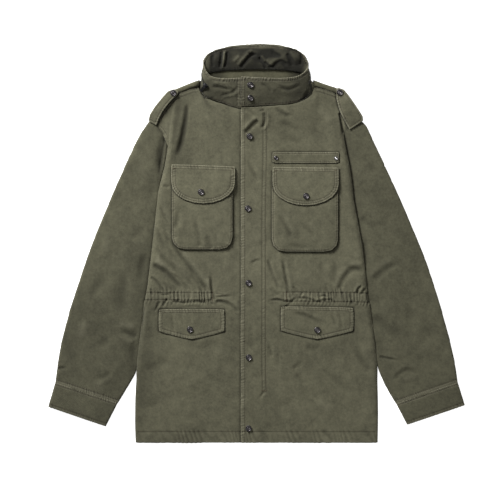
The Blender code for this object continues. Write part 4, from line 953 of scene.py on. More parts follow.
def build_object(name: str, skin: Skin, material: bpy.types.Material, grain: float = 0.0) -> bpy.types.Object:
    """Turn a skin into a mesh object at the origin.

    Args:
        name: Name of the piece.
        skin: The skin.
        material: Its finish.
        grain: Angle of the cloth's warp from the Y axis, in degrees, for the map that the weave follows.

    Returns:
        The new object.
    """
    mesh = bpy.data.meshes.new(name)
    count = len(skin.faces)
    mesh.vertices.add(len(skin.points))
    mesh.vertices.foreach_set("co", (skin.points * MM).ravel())
    mesh.loops.add(count * 3)
    mesh.loops.foreach_set("vertex_index", skin.faces.ravel())
    mesh.polygons.add(count)
    mesh.polygons.foreach_set("loop_start", np.arange(0, count * 3, 3))
    mesh.update(calc_edges=True)
    mesh.validate()
    turn = math.radians(grain)
    across = skin.points[:, 0] * math.cos(turn) + skin.points[:, 1] * math.sin(turn)
    up = -skin.points[:, 0] * math.sin(turn) + skin.points[:, 1] * math.cos(turn) + skin.points[:, 2]
    weave = mesh.uv_layers.new(name="weave")
    weave.data.foreach_set("uv", (np.stack([across, up], axis=1)[skin.faces.ravel()] * MM).ravel())
    for label, values in (("wear", skin.wear), ("painted_shade", skin.painted_shade)):
        data = mesh.attributes.new(label, "FLOAT", "POINT")
        data.data.foreach_set("value", np.clip(values, 0.0, 1.5))
    mesh.shade_smooth()
    mesh.materials.append(material)
    return new_object(name, mesh)


# ---------------------------------------------------------------- finishes


Colour = tuple[float, float, float, float]
Socket = bpy.types.NodeSocket
Sockets = bpy.types.bpy_prop_collection | dict[str, Socket]
Links = dict[str | int, object]


@dataclass
class Graph:
    """Adds nodes to a tree in one line each.

    Attributes:
        tree: The tree that takes the nodes.
    """

    tree: bpy.types.NodeTree

    def fill(self, node: bpy.types.Node, links: Links) -> None:
        """Fill inputs of a node.

        Args:
            node: The node.
            links: Values or output sockets for its inputs, by name or number.
        """
        for label, value in links.items():
            if isinstance(value, Socket):
                self.tree.links.new(value, node.inputs[label])
            else:
                node.inputs[label].default_value = value

    def add(self, kind: str, links: Links | None = None, **settings: object) -> bpy.types.Node:
        """Add a node, set its properties and fill its inputs.

        Args:
            kind: Blender's name of the node's type.
            links: Values or output sockets for the inputs, by name or number.
            **settings: Properties of the node.

        Returns:
            The new node.
        """
        node = self.tree.nodes.new(kind)
        for label, value in settings.items():
            setattr(node, label, value)
        self.fill(node, links or {})
        return node

    def math(self, operation: str, first: object, second: object = 0.0, clamp: bool = False) -> Socket:
        """Add a calculation with two values or sockets and give its result."""
        node = self.add("ShaderNodeMath", {0: first, 1: second}, operation=operation, use_clamp=clamp)
        return node.outputs[0]

    def blend(self, share: object, first: object, second: object) -> Socket:
        """Add a mix of two colours and give its result."""
        node = self.add("ShaderNodeMix", {0: share, 6: first, 7: second}, data_type="RGBA", clamp_factor=True)
        return node.outputs[2]

    def noise(self, place: object, scale: float, detail: float = 2.0, roughness: float = 0.5) -> Socket:
        """Add a noise and give its value, near 0.5 on average."""
        links = {"Vector": place, "Scale": scale, "Detail": detail, "Roughness": roughness}
        return self.add("ShaderNodeTexNoise", links).outputs[0]

    def spread(self, value: object, centre: float, gain: float, clamp: bool = False) -> Socket:
        """Take a centre off a value, multiply what is left and give the result."""
        return self.math("MULTIPLY", self.math("SUBTRACT", value, centre), gain, clamp=clamp)

    def coat(self, shader: bpy.types.Node, look: Sockets, depth: float, strength: float) -> None:
        """Give a shader its colour, roughness and relief.

        Args:
            shader: The shader.
            look: Sockets named Color, Roughness and Height.
            depth: Depth of the relief, in mm.
            strength: Strength of the relief, from 0 to 1.
        """
        relief = {"Height": look["Height"], "Distance": depth * MM, "Strength": strength}
        normal = self.add("ShaderNodeBump", relief).outputs[0]
        self.fill(shader, {"Base Color": look["Color"], "Roughness": look["Roughness"], "Normal": normal})


def new_material(name: str) -> tuple[bpy.types.Material, Graph, bpy.types.Node]:
    """Start a material.

    Args:
        name: Name of the material.

    Returns:
        The material, a graph on its tree and its shader.
    """
    material = bpy.data.materials.new(name)
    material.use_nodes = True
    return material, Graph(material.node_tree), material.node_tree.nodes["Principled BSDF"]


def new_group(
    name: str, inputs: dict[str, tuple[str, object]], outputs: dict[str, str]
) -> tuple[Graph, Sockets, bpy.types.Node]:
    """Start a shader node group with named sockets.

    Args:
        name: Name of the group.
        inputs: Socket type and first value of each input.
        outputs: Socket type of each output.

    Returns:
        A graph on the group's tree, the sockets of its inputs and the node that takes its outputs.
    """
    tree = bpy.data.node_groups.new(name, "ShaderNodeTree")
    for label, (kind, value) in inputs.items():
        socket = tree.interface.new_socket(label, in_out="INPUT", socket_type=kind)
        if value is not None:
            socket.default_value = value
    for label, kind in outputs.items():
        tree.interface.new_socket(label, in_out="OUTPUT", socket_type=kind)
    graph = Graph(tree)
    return graph, graph.add("NodeGroupInput").outputs, graph.add("NodeGroupOutput")


def worn_and_shaded_twill() -> bpy.types.NodeTree:
    """Make the group for washed cotton twill: mottled dye, pale ridges, painted shade in grooves and hollows,
    and a raised weave.

    Returns:
        The group.
    """
    graph, given, out = new_group(
        "worn_and_shaded_twill",
        {
            "Weave": ("NodeSocketVector", None),
            "Place": ("NodeSocketVector", None),
            "Dye": ("NodeSocketColor", (0.1, 0.1, 0.06, 1.0)),
            "Pale": ("NodeSocketColor", (0.2, 0.2, 0.14, 1.0)),
            "Shade Tone": ("NodeSocketColor", (0.03, 0.03, 0.02, 1.0)),
            "Wear": ("NodeSocketFloat", 0.0),
            "Painted Shade": ("NodeSocketFloat", 0.0),
            "Pitch": ("NodeSocketFloat", 0.0011),
        },
        {"Color": "NodeSocketColor", "Roughness": "NodeSocketFloat", "Height": "NodeSocketFloat"},
    )
    cloud = graph.noise(given["Place"], 7.0, 3.0, 0.55)
    mottle = graph.noise(given["Place"], 60.0, 4.0, 0.62)
    speck = graph.noise(given["Place"], 210.0, 3.0, 0.6)
    fluff = graph.noise(given["Place"], 700.0, 3.0, 0.65)
    parts = graph.add("ShaderNodeSeparateXYZ", {0: given["Weave"]}).outputs
    run = graph.math("ADD", parts[0], graph.math("MULTIPLY", parts[1], 0.75))
    turns = graph.math("DIVIDE", run, given["Pitch"])
    diagonal = graph.math("SINE", graph.math("MULTIPLY", turns, 2.0 * math.pi))
    shade = graph.spread(cloud, 0.5, 0.55)
    for value, gain in ((mottle, 0.9), (speck, 0.7), (fluff, 0.62)):
        shade = graph.math("ADD", shade, graph.spread(value, 0.5, gain))
    shade = graph.math("ADD", shade, graph.math("MULTIPLY", diagonal, 0.03))
    tone = graph.math("ADD", shade, 1.0)
    scaled = graph.add("ShaderNodeVectorMath", {0: given["Dye"], "Scale": tone}, operation="SCALE").outputs[0]
    patchy = graph.math("ADD", graph.spread(mottle, 0.5, 2.2), 0.9)
    worn = graph.blend(graph.math("MULTIPLY", given["Wear"], patchy, clamp=True), scaled, given["Pale"])
    yarn = graph.math("MULTIPLY", diagonal, graph.math("ADD", 0.6, fluff))
    height = graph.math("ADD", graph.math("MULTIPLY", yarn, 0.5), graph.math("MULTIPLY", fluff, 0.8))
    # The colour goes towards the dark shade tone where shade is painted.
    look = {
        "Color": graph.blend(graph.math("MULTIPLY", given["Painted Shade"], 0.8, clamp=True), worn, given["Shade Tone"]),
        "Roughness": graph.math("ADD", 0.8, graph.math("MULTIPLY", mottle, 0.2)),
        "Height": graph.math("ADD", height, graph.math("MULTIPLY", mottle, 1.2)),
    }
    graph.fill(out, look)
    return graph.tree


def handled_metal() -> bpy.types.NodeTree:
    """Make the group for small metal parts: tarnish in patches and fine scratches.

    Returns:
        The group.
    """
    graph, given, out = new_group(
        "handled_metal",
        {
            "Place": ("NodeSocketVector", None),
            "Metal": ("NodeSocketColor", (0.1, 0.1, 0.11, 1.0)),
            "Tarnish": ("NodeSocketColor", (0.03, 0.03, 0.03, 1.0)),
            "Polish": ("NodeSocketFloat", 0.3),
        },
        {"Color": "NodeSocketColor", "Roughness": "NodeSocketFloat", "Height": "NodeSocketFloat"},
    )
    patch = graph.noise(given["Place"], 260.0, 3.0, 0.6)
    scratch = graph.noise(given["Place"], 2600.0, 2.0, 0.6)
    share = graph.spread(patch, 0.35, 2.2, clamp=True)
    look = {
        "Color": graph.blend(share, given["Metal"], given["Tarnish"]),
        "Roughness": graph.math("ADD", given["Polish"], graph.math("MULTIPLY", patch, 0.18)),
        "Height": graph.math("ADD", scratch, patch),
    }
    graph.fill(out, look)
    return graph.tree


@dataclass(frozen=True)
class ClothFinish:
    """A cotton finish.

    Attributes:
        name: Name of the material.
        dye: The cloth's own colour.
        pale: Its colour where it is rubbed.
        shade_tone: Its colour where shade is painted, in grooves, troughs and hollows.
        sheen: Weight of the nap's sheen.
        bump: Depth of the weave, in mm.
    """

    name: str
    dye: Colour
    pale: Colour
    shade_tone: Colour
    sheen: float = 0.12
    bump: float = 0.12

    def make(self, twill: bpy.types.NodeTree) -> bpy.types.Material:
        """Make the material.

        Args:
            twill: The shared group of the weave.

        Returns:
            The material.
        """
        material, graph, shader = new_material(self.name)
        graph.fill(shader, {"Sheen Weight": self.sheen, "Sheen Roughness": 0.45, "Specular IOR Level": 0.22})
        links = {
            "Weave": graph.add("ShaderNodeUVMap", uv_map="weave").outputs[0],
            "Place": graph.add("ShaderNodeTexCoord").outputs["Object"],
            "Dye": self.dye,
            "Pale": self.pale,
            "Shade Tone": self.shade_tone,
            "Wear": graph.add("ShaderNodeAttribute", attribute_name="wear").outputs["Fac"],
            "Painted Shade": graph.add("ShaderNodeAttribute", attribute_name="painted_shade").outputs["Fac"],
        }
        cloth = graph.add("ShaderNodeGroup", links, node_tree=twill)
        graph.coat(shader, cloth.outputs, self.bump, 0.7)
        return material


@dataclass(frozen=True)
class MetalFinish:
    """A metal finish.

    Attributes:
        name: Name of the material.
        metal: Its clean colour.
        tarnish: Its colour in dull patches.
        polish: Roughness where it is clean.
    """

    name: str
    metal: Colour
    tarnish: Colour
    polish: float

    def make(self, handled: bpy.types.NodeTree) -> bpy.types.Material:
        """Make the material.

        Args:
            handled: The shared group of tarnish and scratches.

        Returns:
            The material.
        """
        material, graph, shader = new_material(self.name)
        graph.fill(shader, {"Metallic": 1.0})
        links = {
            "Place": graph.add("ShaderNodeTexCoord").outputs["Object"],
            "Metal": self.metal,
            "Tarnish": self.tarnish,
            "Polish": self.polish,
        }
        metal = graph.add("ShaderNodeGroup", links, node_tree=handled)
        graph.coat(shader, metal.outputs, 0.03, 0.4)
        return material


COTTON = ClothFinish(
    name="olive_twill",
    dye=(0.112, 0.1075, 0.069, 1.0),
    pale=(0.215, 0.205, 0.14, 1.0),
    shade_tone=(0.022, 0.021, 0.013, 1.0),
)
SLEEVE_COTTON = ClothFinish(
    name="olive_twill_sleeve",
    dye=(0.093, 0.0895, 0.057, 1.0),
    pale=(0.18, 0.17, 0.118, 1.0),
    shade_tone=(0.02, 0.019, 0.012, 1.0),
)
# The collar's copy of the cotton, dyed darker as painted shade for the standing band and its hollow.
COLLAR_SHADED_COTTON = ClothFinish(
    name="olive_twill_collar_shaded",
    dye=(0.067, 0.064, 0.041, 1.0),
    pale=(0.15, 0.142, 0.098, 1.0),
    shade_tone=(0.011, 0.0105, 0.007, 1.0),
)
LINING = ClothFinish(
    name="olive_twill_inside",
    dye=(0.1, 0.096, 0.058, 1.0),
    pale=(0.2, 0.19, 0.13, 1.0),
    shade_tone=(0.02, 0.019, 0.012, 1.0),
)
ZIP_TAPE = ClothFinish(
    name="zip_tape",
    dye=(0.028, 0.027, 0.02, 1.0),
    pale=(0.07, 0.067, 0.05, 1.0),
    shade_tone=(0.008, 0.008, 0.006, 1.0),
    sheen=0.05,
)
GUNMETAL = MetalFinish("gunmetal", (0.15, 0.14, 0.142, 1.0), (0.028, 0.026, 0.028, 1.0), 0.3)
NICKEL = MetalFinish("nickel", (0.62, 0.61, 0.6, 1.0), (0.3, 0.29, 0.28, 1.0), 0.18)
ZIP_METAL = MetalFinish("zip_metal", (0.08, 0.08, 0.085, 1.0), (0.015, 0.015, 0.016, 1.0), 0.3)


THREAD_BROWN = (0.048, 0.035, 0.018, 1.0)
THREAD_FADED = (0.115, 0.088, 0.05, 1.0)


def make_thread() -> bpy.types.Material:
    """Make the finish of the sewing thread: brown-olive with a twist and uneven fading.

    Returns:
        The material.
    """
    material, graph, shader = new_material("thread")
    graph.fill(shader, {"Sheen Weight": 0.1, "Specular IOR Level": 0.3})
    place = graph.add("ShaderNodeTexCoord").outputs["Object"]
    fading = graph.spread(graph.noise(place, 45.0, 3.0), 0.3, 2.0, clamp=True)
    look = {
        "Color": graph.blend(fading, THREAD_BROWN, THREAD_FADED),
        "Roughness": graph.math("ADD", 0.6, graph.math("MULTIPLY", graph.noise(place, 900.0), 0.3)),
        "Height": graph.noise(place, 2400.0),
    }
    graph.coat(shader, look, 0.05, 0.6)
    return material


@dataclass
class Finishes:
    """Every material of the jacket, made once."""

    cotton: bpy.types.Material = field(init=False)
    sleeve_cotton: bpy.types.Material = field(init=False)
    collar_shaded_cotton: bpy.types.Material = field(init=False)
    lining: bpy.types.Material = field(init=False)
    gunmetal: bpy.types.Material = field(init=False)
    nickel: bpy.types.Material = field(init=False)
    zip_metal: bpy.types.Material = field(init=False)
    zip_tape: bpy.types.Material = field(init=False)
    thread: bpy.types.Material = field(init=False)

    def __post_init__(self) -> None:
        """Make the shared groups and the materials."""
        twill, handled = worn_and_shaded_twill(), handled_metal()
        self.cotton = COTTON.make(twill)
        self.sleeve_cotton = SLEEVE_COTTON.make(twill)
        self.collar_shaded_cotton = COLLAR_SHADED_COTTON.make(twill)
        self.lining = LINING.make(twill)
        self.gunmetal = GUNMETAL.make(handled)
        self.nickel = NICKEL.make(handled)
        self.zip_metal = ZIP_METAL.make(handled)
        self.zip_tape = ZIP_TAPE.make(twill)
        self.thread = make_thread()


# ---------------------------------------------------------------- sewing


def stitch_tree() -> bpy.types.NodeTree:
    """Make the Geometry Nodes tree that lays equal small pieces in rows along the edges of a mesh.

    Returns:
        The tree, with inputs for the pitch, the piece's length, width and height, its turn and its finish.
    """
    tree = bpy.data.node_groups.new("rows_of_pieces", "GeometryNodeTree")
    tree.is_modifier = True
    face = tree.interface
    face.new_socket("Geometry", in_out="INPUT", socket_type="NodeSocketGeometry")
    for label in ("Pitch", "Length", "Width", "Height", "Turn"):
        face.new_socket(label, in_out="INPUT", socket_type="NodeSocketFloat")
    face.new_socket("Material", in_out="INPUT", socket_type="NodeSocketMaterial")
    face.new_socket("Geometry", in_out="OUTPUT", socket_type="NodeSocketGeometry")
    graph = Graph(tree)
    given = graph.add("NodeGroupInput").outputs
    curve = graph.add("GeometryNodeMeshToCurve", {"Mesh": given["Geometry"]})
    pitched = {"Curve": curve.outputs[0], "Length": given["Pitch"]}
    even = graph.add("GeometryNodeResampleCurve", pitched, mode="LENGTH")
    up = graph.add("GeometryNodeInputNamedAttribute", {"Name": "up"}, data_type="FLOAT_VECTOR")
    tangent = graph.add("GeometryNodeInputTangent")
    aim = graph.add(
        "FunctionNodeAxesToRotation",
        {0: up.outputs[0], 1: tangent.outputs[0]},
        primary_axis="Z",
        secondary_axis="X",
    )
    sway = graph.add("FunctionNodeRandomValue", {"Seed": 7}, data_type="FLOAT")
    sway.inputs[2].default_value = -0.12
    sway.inputs[3].default_value = 0.12
    angle = graph.add("ShaderNodeMath", {0: sway.outputs[1], 1: given["Turn"]}, operation="ADD")
    about = graph.add("ShaderNodeCombineXYZ", {2: angle.outputs[0]})
    turn = graph.add("FunctionNodeEulerToRotation", {0: about.outputs[0]})
    aims = {0: aim.outputs[0], 1: turn.outputs[0]}
    turned = graph.add("FunctionNodeRotateRotation", aims, rotation_space="LOCAL")
    bead = graph.add("GeometryNodeMeshUVSphere", {"Segments": 6, "Rings": 4, "Radius": 0.5})
    size = graph.add("ShaderNodeCombineXYZ", {0: given["Length"], 1: given["Width"], 2: given["Height"]})
    grow = graph.add("FunctionNodeRandomValue", {"Seed": 11}, data_type="FLOAT")
    grow.inputs[2].default_value = 0.86
    grow.inputs[3].default_value = 1.08
    sizes = {0: size.outputs[0], "Scale": grow.outputs[1]}
    scale = graph.add("ShaderNodeVectorMath", sizes, operation="SCALE")
    placed = graph.add(
        "GeometryNodeInstanceOnPoints",
        {
            "Points": even.outputs[0],
            "Instance": bead.outputs[0],
            "Rotation": turned.outputs[0],
            "Scale": scale.outputs[0],
        },
    )
    solid = graph.add("GeometryNodeRealizeInstances", {0: placed.outputs[0]})
    clothed = {"Geometry": solid.outputs[0], "Material": given["Material"]}
    dressed = graph.add("GeometryNodeSetMaterial", clothed)
    graph.add("NodeGroupOutput", {0: dressed.outputs[0]})
    return tree


@dataclass(frozen=True)
class Stitch:
    """Sizes of a small repeated piece, in mm.

    Attributes:
        pitch: Distance from one to the next.
        length: Its size along the row.
        width: Its size across the row.
        height: Its size away from the cloth.
        turn: How far it is turned in the cloth's plane, in degrees.
    """

    pitch: float = 3.1
    length: float = 2.5
    width: float = 0.75
    height: float = 0.6
    turn: float = 0.0


Run = tuple[np.ndarray, np.ndarray]


def long_runs(runs: Iterable[list[tuple]], least: int) -> list[Run]:
    """Turn runs over a surface into arrays.

    Args:
        runs: For each run, the place of each point and the direction away from the surface there.
        least: Number of points at which a run is too short to keep.

    Returns:
        The places and the directions of each run that is kept.
    """
    return [tuple(np.array(column) for column in zip(*run)) for run in runs if len(run) > least]


@dataclass
class Sewing:
    """Lays rows of stitches on finished skins and turns each group of them into one mesh.

    Attributes:
        rows: The rows of each group.
        tree: The Geometry Nodes tree that every group shares.
    """

    rows: dict[str, list[Run]] = field(default_factory=dict)
    tree: bpy.types.NodeTree = field(init=False)

    def __post_init__(self) -> None:
        """Make the tree."""
        self.tree = stitch_tree()

    def lay(self, group: str, line: Line, ground: BVHTree, below: bool = False, sink: float = 0.1) -> None:
        """Lay a row of stitches on a surface.

        Args:
            group: Name of the group that the row belongs to.
            line: The row in the plane or in space, in mm.
            ground: Search tree of the surface, in mm.
            below: Whether the row is found from below.
            sink: How far the thread's middle lies under the surface, in mm.
        """
        runs, last = [[]], None
        for point in line.even(1.6).points:
            if len(point) == 3:
                found, normal, _, _ = ground.find_nearest(Vector(point))
            elif below:
                found, normal, _, _ = ground.ray_cast(Vector((*point, -20.0)), Vector((0.0, 0.0, 1.0)))
                if found is not None and normal.z > -0.7:
                    found = None
            else:
                found, normal, _, _ = ground.ray_cast(Vector((*point, 80.0)), Vector((0.0, 0.0, -1.0)))
            if found is not None and (last is None or (found - last).length < 5.0):
                runs[-1].append((found - normal * sink, normal))
            else:
                runs.append([])
            last = found
        self.rows.setdefault(group, []).extend(long_runs(runs, 2))

    def finish(self, group: str, name: str, stitch: Stitch, material: bpy.types.Material) -> bpy.types.Object:
        """Turn a group of rows into one mesh.

        Args:
            group: Name of the group.
            name: Name of the piece.
            stitch: Sizes of one stitch.
            material: Its finish.

        Returns:
            The finished piece.
        """
        places, away, edges, start = [], [], [], 0
        for row, normals in self.rows[group]:
            places.append(row)
            away.append(normals)
            index = start + np.arange(len(row))
            edges.append(np.stack([index[:-1], index[1:]], axis=1))
            start += len(row)
        guide = bpy.data.meshes.new(f"{name}_rows")
        guide.from_pydata((np.vstack(places) * MM).tolist(), np.vstack(edges).tolist(), [])
        up = guide.attributes.new("up", "FLOAT_VECTOR", "POINT")
        up.data.foreach_set("vector", np.vstack(away).ravel())
        rows = new_object(f"{name}_rows", guide)
        modifier = rows.modifiers.new("rows", "NODES")
        modifier.node_group = self.tree
        values = {
            "Pitch": stitch.pitch * MM,
            "Length": stitch.length * MM,
            "Width": stitch.width * MM,
            "Height": stitch.height * MM,
            "Turn": math.radians(stitch.turn),
            "Material": material,
        }
        for socket in self.tree.interface.items_tree:
            if socket.in_out == "INPUT" and socket.name in values:
                modifier[socket.identifier] = values[socket.name]
        bpy.context.view_layer.update()
        evaluated = rows.evaluated_get(bpy.context.evaluated_depsgraph_get())
        mesh = bpy.data.meshes.new_from_object(evaluated)
        mesh.name = name
        mesh.shade_smooth()
        rows.modifiers.remove(modifier)
        bpy.data.objects.remove(rows)
        bpy.data.meshes.remove(guide)
        piece = new_object(name, mesh)
        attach(piece, JACKET)
        log.info("%s: %d faces", name, len(mesh.polygons))
        return piece


# ---------------------------------------------------------------- cloth pieces


@dataclass
class Workshop:
    """What every piece is made with.

    Attributes:
        finishes: The materials.
        trees: Search trees of the pieces that are finished so far, by the names of their solids.
        sewing: The rows of stitches laid so far.
    """

    finishes: Finishes = field(default_factory=Finishes)
    trees: dict[str, BVHTree] = field(default_factory=dict)
    sewing: Sewing = field(default_factory=Sewing)


def body_unevenness(x: np.ndarray, y: np.ndarray) -> np.ndarray:
    """Give the height of the soft unevenness of both fronts, in mm."""
    broad = 1.0 * rumple(x + 0.3 * y, 0.5 * y, 46.0, 3) + 0.6 * rumple(x + 0.25 * y, 0.6 * y, 22.0, 4)
    return broad + 0.14 * rumple(x, y, 10.0, 5)


def body_relief(x: np.ndarray, y: np.ndarray) -> np.ndarray:
    """Give the height of the folds and the soft unevenness that the fronts and all that lies on them share.

    Args:
        x: First coordinates, in mm.
        y: Second coordinates, in mm.

    Returns:
        Heights in mm.
    """
    return body_unevenness(x, y) + fold_height(RIGHT_FOLDS, x, y) + fold_height(LEFT_FOLDS, x, y)


def outline(skin: Skin) -> Line:
    """Give the longest rim of a skin as a closed run, seen from above."""
    rim = skin.points[skin.loops()[0]][:, :2]
    return Line(np.vstack([rim, rim[:1]]))


def neck_seam() -> Line:
    """Give the seam of the collar's inner wall to the body, from the fly round the neck."""
    inner = Skin.of_node("collar", Layer.OUTSIDE)
    return inner.edge((-33.9, 301.4, 16.6), (12.0, 299.5, 13.0), (0.0, 383.0, 2.0)).even(3.0)


SIDE_PUSH = 2.2


def side_push(skin: Skin, outward: float) -> None:
    """Push a front's side over the sleeve beside it, so that no gap stays open between them.

    Args:
        skin: The front's skin.
        outward: 1 where the side faces +X and -1 where it faces -X.
    """
    normals = skin.normals()
    side = ease((normals[:, 0] * outward * 0.8 - normals[:, 1] * 0.6 - 0.25) * 2.5)
    side *= ramp(np.abs(skin.points[:, 0]), 150.0, 170.0)
    height = ramp(skin.points[:, 1], -310.0, -250.0)
    skin.points[:, :2] += SIDE_PUSH * (side * height)[:, None] * normals[:, :2]


# Middle and half the size, in mm, of the patch that is made paler: across the body, then up it.
PALER_PATCH = ((-25.0, 75.0), (-10.0, 110.0))


@dataclass(frozen=True)
class Shade:
    """A soft band of painted shade along a line, where the cloth turns from the light or lies under another
    piece.

    Attributes:
        path: Places along the line, in mm.
        width: Half the width of the band, in mm.
        dark: Strength of the painted shade at the line itself, from 0 to 1.
        dip: Depth of the hollow under it, in mm.
    """

    path: tuple[tuple[float, float], ...]
    width: float
    dark: float
    dip: float = 0.0

    def cast(self, skin: Skin) -> None:
        """Paint the band of shade on a skin along the line."""
        skin.shade_beside(Line.through(*self.path), self.width, self.dark, self.dip)


# Bands of painted shade on each front, beside its edges and where the cloth turns from the light.
RIGHT_SHADES = (
    Shade(((-35.5, 299), (-35.5, -436)), 1.8, 0.9, 0.4),
    Shade(((-110, 345), (-170, 325), (-223, 270)), 24.0, 0.28),
    Shade(((-156, 305), (-166, 250), (-170, 175)), 26.0, 0.3),
    Shade(((-240, -130), (-252, -250), (-264, -437), (-150, -440)), 30.0, 0.4),
)

LEFT_SHADES = (
    Shade(((-20, -440), (100, -440), (264, -437), (252, -250)), 16.0, 0.12),
    Shade(((110, 345), (170, 330), (223, 270)), 24.0, 0.28),
    Shade(((196, -130), (206, -165), (200, -210)), 26.0, 0.22),
)


@dataclass
class ClothPiece:
    """A piece of cloth that stands for one solid of the frame.

    Attributes:
        node: Name of the solid.
        flat: Width and length that it was cut to, in metres; not used.
        area: Area of the cut, in square metres; not used.
        rests_on: What it lies on; not used.
        layer: Which faces of the solid become cloth.
        coarse: Longest edge of the mesh, in mm.
        fine: Longest edge near its sewing, in mm.
        melt: Furthest that the facets are melted, in mm.
        folds: Its own creases.
        under: Pieces that lie on it, whose rims press into it and whose shadow is painted on it.
        grain: Angle of its warp from the Y axis, in degrees.
        group: Group of stitches that its rows belong to.
    """

    node: str
    flat: tuple[float, float]
    area: float
    rests_on: tuple[str, ...]
    layer: Layer = Layer.TOP_AND_SIDES
    coarse: float = 4.5
    fine: float = 1.9
    melt: float = 0.6
    folds: tuple[Fold, ...] = ()
    under: tuple[str, ...] = ()
    grain: float = 0.0
    group: str = "body"

    def seams(self, skin: Skin) -> list[Seam]:
        """Give the piece's seams, measured on its coarse skin."""
        return []

    def settle(self, skin: Skin) -> None:
        """Give the skin its creases.

        Args:
            skin: The piece's skin.
        """
        x, y = skin.points[:, 0], skin.points[:, 1]
        skin.points[:, 2] += body_relief(x, y)
        self.crumple(skin)

    def crumple(self, skin: Skin, soft: np.ndarray | float = 0.0) -> None:
        """Press creases into the side that faces up, paint shade into their troughs and make their ridges
        paler.

        Args:
            skin: The piece's skin.
            soft: Height of the soft unevenness at each vertex, in mm.
        """
        upper = ease(skin.normals()[:, 2] * 1.6)
        height = fold_height(self.folds, skin.points[:, 0], skin.points[:, 1])
        skin.press((height + soft) * upper)
        # Painted shade in the troughs of the folds.
        skin.painted_shade += 0.3 * upper * np.clip(-height - 0.35, 0.0, 2.6)
        skin.wear += 0.22 * upper * np.clip(height - 0.2, 0.0, 1.6)
        # A broad patch in the middle of the body is made a little paler.
        (across, width), (up, length) = PALER_PATCH
        middle = hump(skin.points[:, 0] - across, width) * hump(skin.points[:, 1] - up, length)
        skin.wear += 0.11 * upper * middle

    def stitch(self, shop: Workshop, tree: BVHTree, seams: list[Seam]) -> None:
        """Lay the piece's rows of stitches.

        Args:
            shop: The workshop.
            tree: Search tree of the finished skin, in mm.
            seams: The piece's seams.
        """
        for seam in seams:
            for row in seam.rows:
                shop.sewing.lay(self.group, seam.line.shift(row) if row else seam.line, tree)

    def material(self, shop: Workshop) -> bpy.types.Material:
        """Give the piece's finish."""
        return shop.finishes.cotton

    def build(self, shop: Workshop) -> bpy.types.Object:
        """Make the piece.

        Args:
            shop: The workshop that it is made in.

        Returns:
            The finished piece.
        """
        skin = Skin.of_node(self.node, self.layer)
        skin.refine(self.coarse)
        skin.relax(30, self.melt)
        seams = self.seams(skin)
        rims = [outline(Skin.of_node(name, Layer.TOP_AND_SIDES)).even(2.5) for name in self.under]
        near = [(seam.line, max([seam.pucker.end, *seam.rows]) + 2.5) for seam in seams]
        near += [(rim, 4.0) for rim in rims]
        near += [(Line.through(*fold.path), 2 * fold.width) for fold in self.folds if fold.width < 4.1]
        skin.refine(self.coarse, self.fine, near)
        skin.relax(4, 0.2)
        skin.start_marks()
        self.settle(skin)
        # Painted shadow under the rims of the pieces that lie on this one.
        for rim in rims:
            skin.shade_beside(rim, 2.4, 0.9, 0.8)
        for seam in seams:
            skin.sew(seam, self.seam_mask(skin))
        skin.points[:, 2] = np.maximum(skin.points[:, 2], 0.02)
        tree = skin.tree()
        shop.trees[self.node] = tree
        self.stitch(shop, tree, seams)
        if self.layer is Layer.OUTSIDE:
            skin.part_sides()
        piece = build_object(f"{self.node}_cloth", skin, self.material(shop), self.grain)
        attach(piece, JACKET)
        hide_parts(self.node)
        log.info("%s: %d triangles", piece.name, len(skin.faces))
        return piece

    def seam_mask(self, skin: Skin) -> np.ndarray | None:
        """Give the share of the seams' effect at each vertex, or none for all of it."""
        return None


SHOULDER_ROWS = (2.0, 8.5)
HEM_ROW = 24.4


@dataclass
class FrontLeft(ClothPiece):
    """The left front with its fly, which lies over the right front's edge.

    Attributes:
        fly_row: Offset of the row of stitches from the fly's edge, in mm.
        fly_gap: Offset of the two rows on the fly's inner side from the middle between them, in mm.
        channel_gap: Offset of the drawcord channel's rows from its middle, in mm.
    """

    fly_row: float = 8.2
    fly_gap: float = 3.8
    channel_gap: float = 10.0

    def seams(self, skin: Skin) -> list[Seam]:
        """Give the fly, hem, shoulder and drawcord channel.

        Args:
            skin: The piece's coarse skin.

        Returns:
            The seams.
        """
        fly = skin.edge((-33.8, 299.5), (-33.8, -436.9), (-33.8, 0.0))
        hem = skin.edge((-33.8, -436.9), (264.0, -436.9), (100.0, -436.9))
        shoulder = skin.edge((127.3, 343.1), (223.4, 264.6), (182.0, 328.0))
        upper = ((18, 291), (18.3, 200), (16.2, 100), (15.8, 0))
        inner = Line.through(*upper, (16, -100), (15.8, -200), (16.2, -285), (17.4, -322), step=12.0)
        waist = ((58, -116.5), (100, -116), (150, -117.5), (200, -117), (238, -118), (270, -118))
        channel = Line.through(*waist, step=10.0)
        gap = self.channel_gap
        return [
            Seam(fly, (self.fly_row,), EDGE_PUCKER, 0.45, 0.35, 0.9, 11),
            Seam(hem, (HEM_ROW,), HEM_PUCKER, 0.4, 0.2, 0.3, 12),
            Seam(shoulder, SHOULDER_ROWS, Pucker(5.0, 0.4, 0.0, 9.0, 3.0), 0.4, 0.0, 0.5, 13),
            Seam(inner, (-self.fly_gap, self.fly_gap), Pucker(5.2, 0.2, -3.0, 3.0, 1.5), 0.45, 0.0, 0.35, 14),
            Seam(channel, (-gap, gap), CHANNEL_PUCKER, 0.8, 0.0, 0.4, 15),
            Seam(channel, (), GATHER_ABOVE, 0.0, 0.0, 0.1, 16),
            Seam(channel, (), GATHER_BELOW, 0.0, 0.0, 0.1, 17),
        ]

    def settle(self, skin: Skin) -> None:
        """Give the front its creases and the bands of painted shade beside its edges.

        Args:
            skin: The piece's skin.
        """
        side_push(skin, 1.0)
        self.crumple(skin, body_unevenness(skin.points[:, 0], skin.points[:, 1]))
        # Painted shadow below the collar's neck seam.
        skin.shade_beside(neck_seam().flat(), 2.6, 0.5, 0.3)
        for shade in LEFT_SHADES:
            shade.cast(skin)


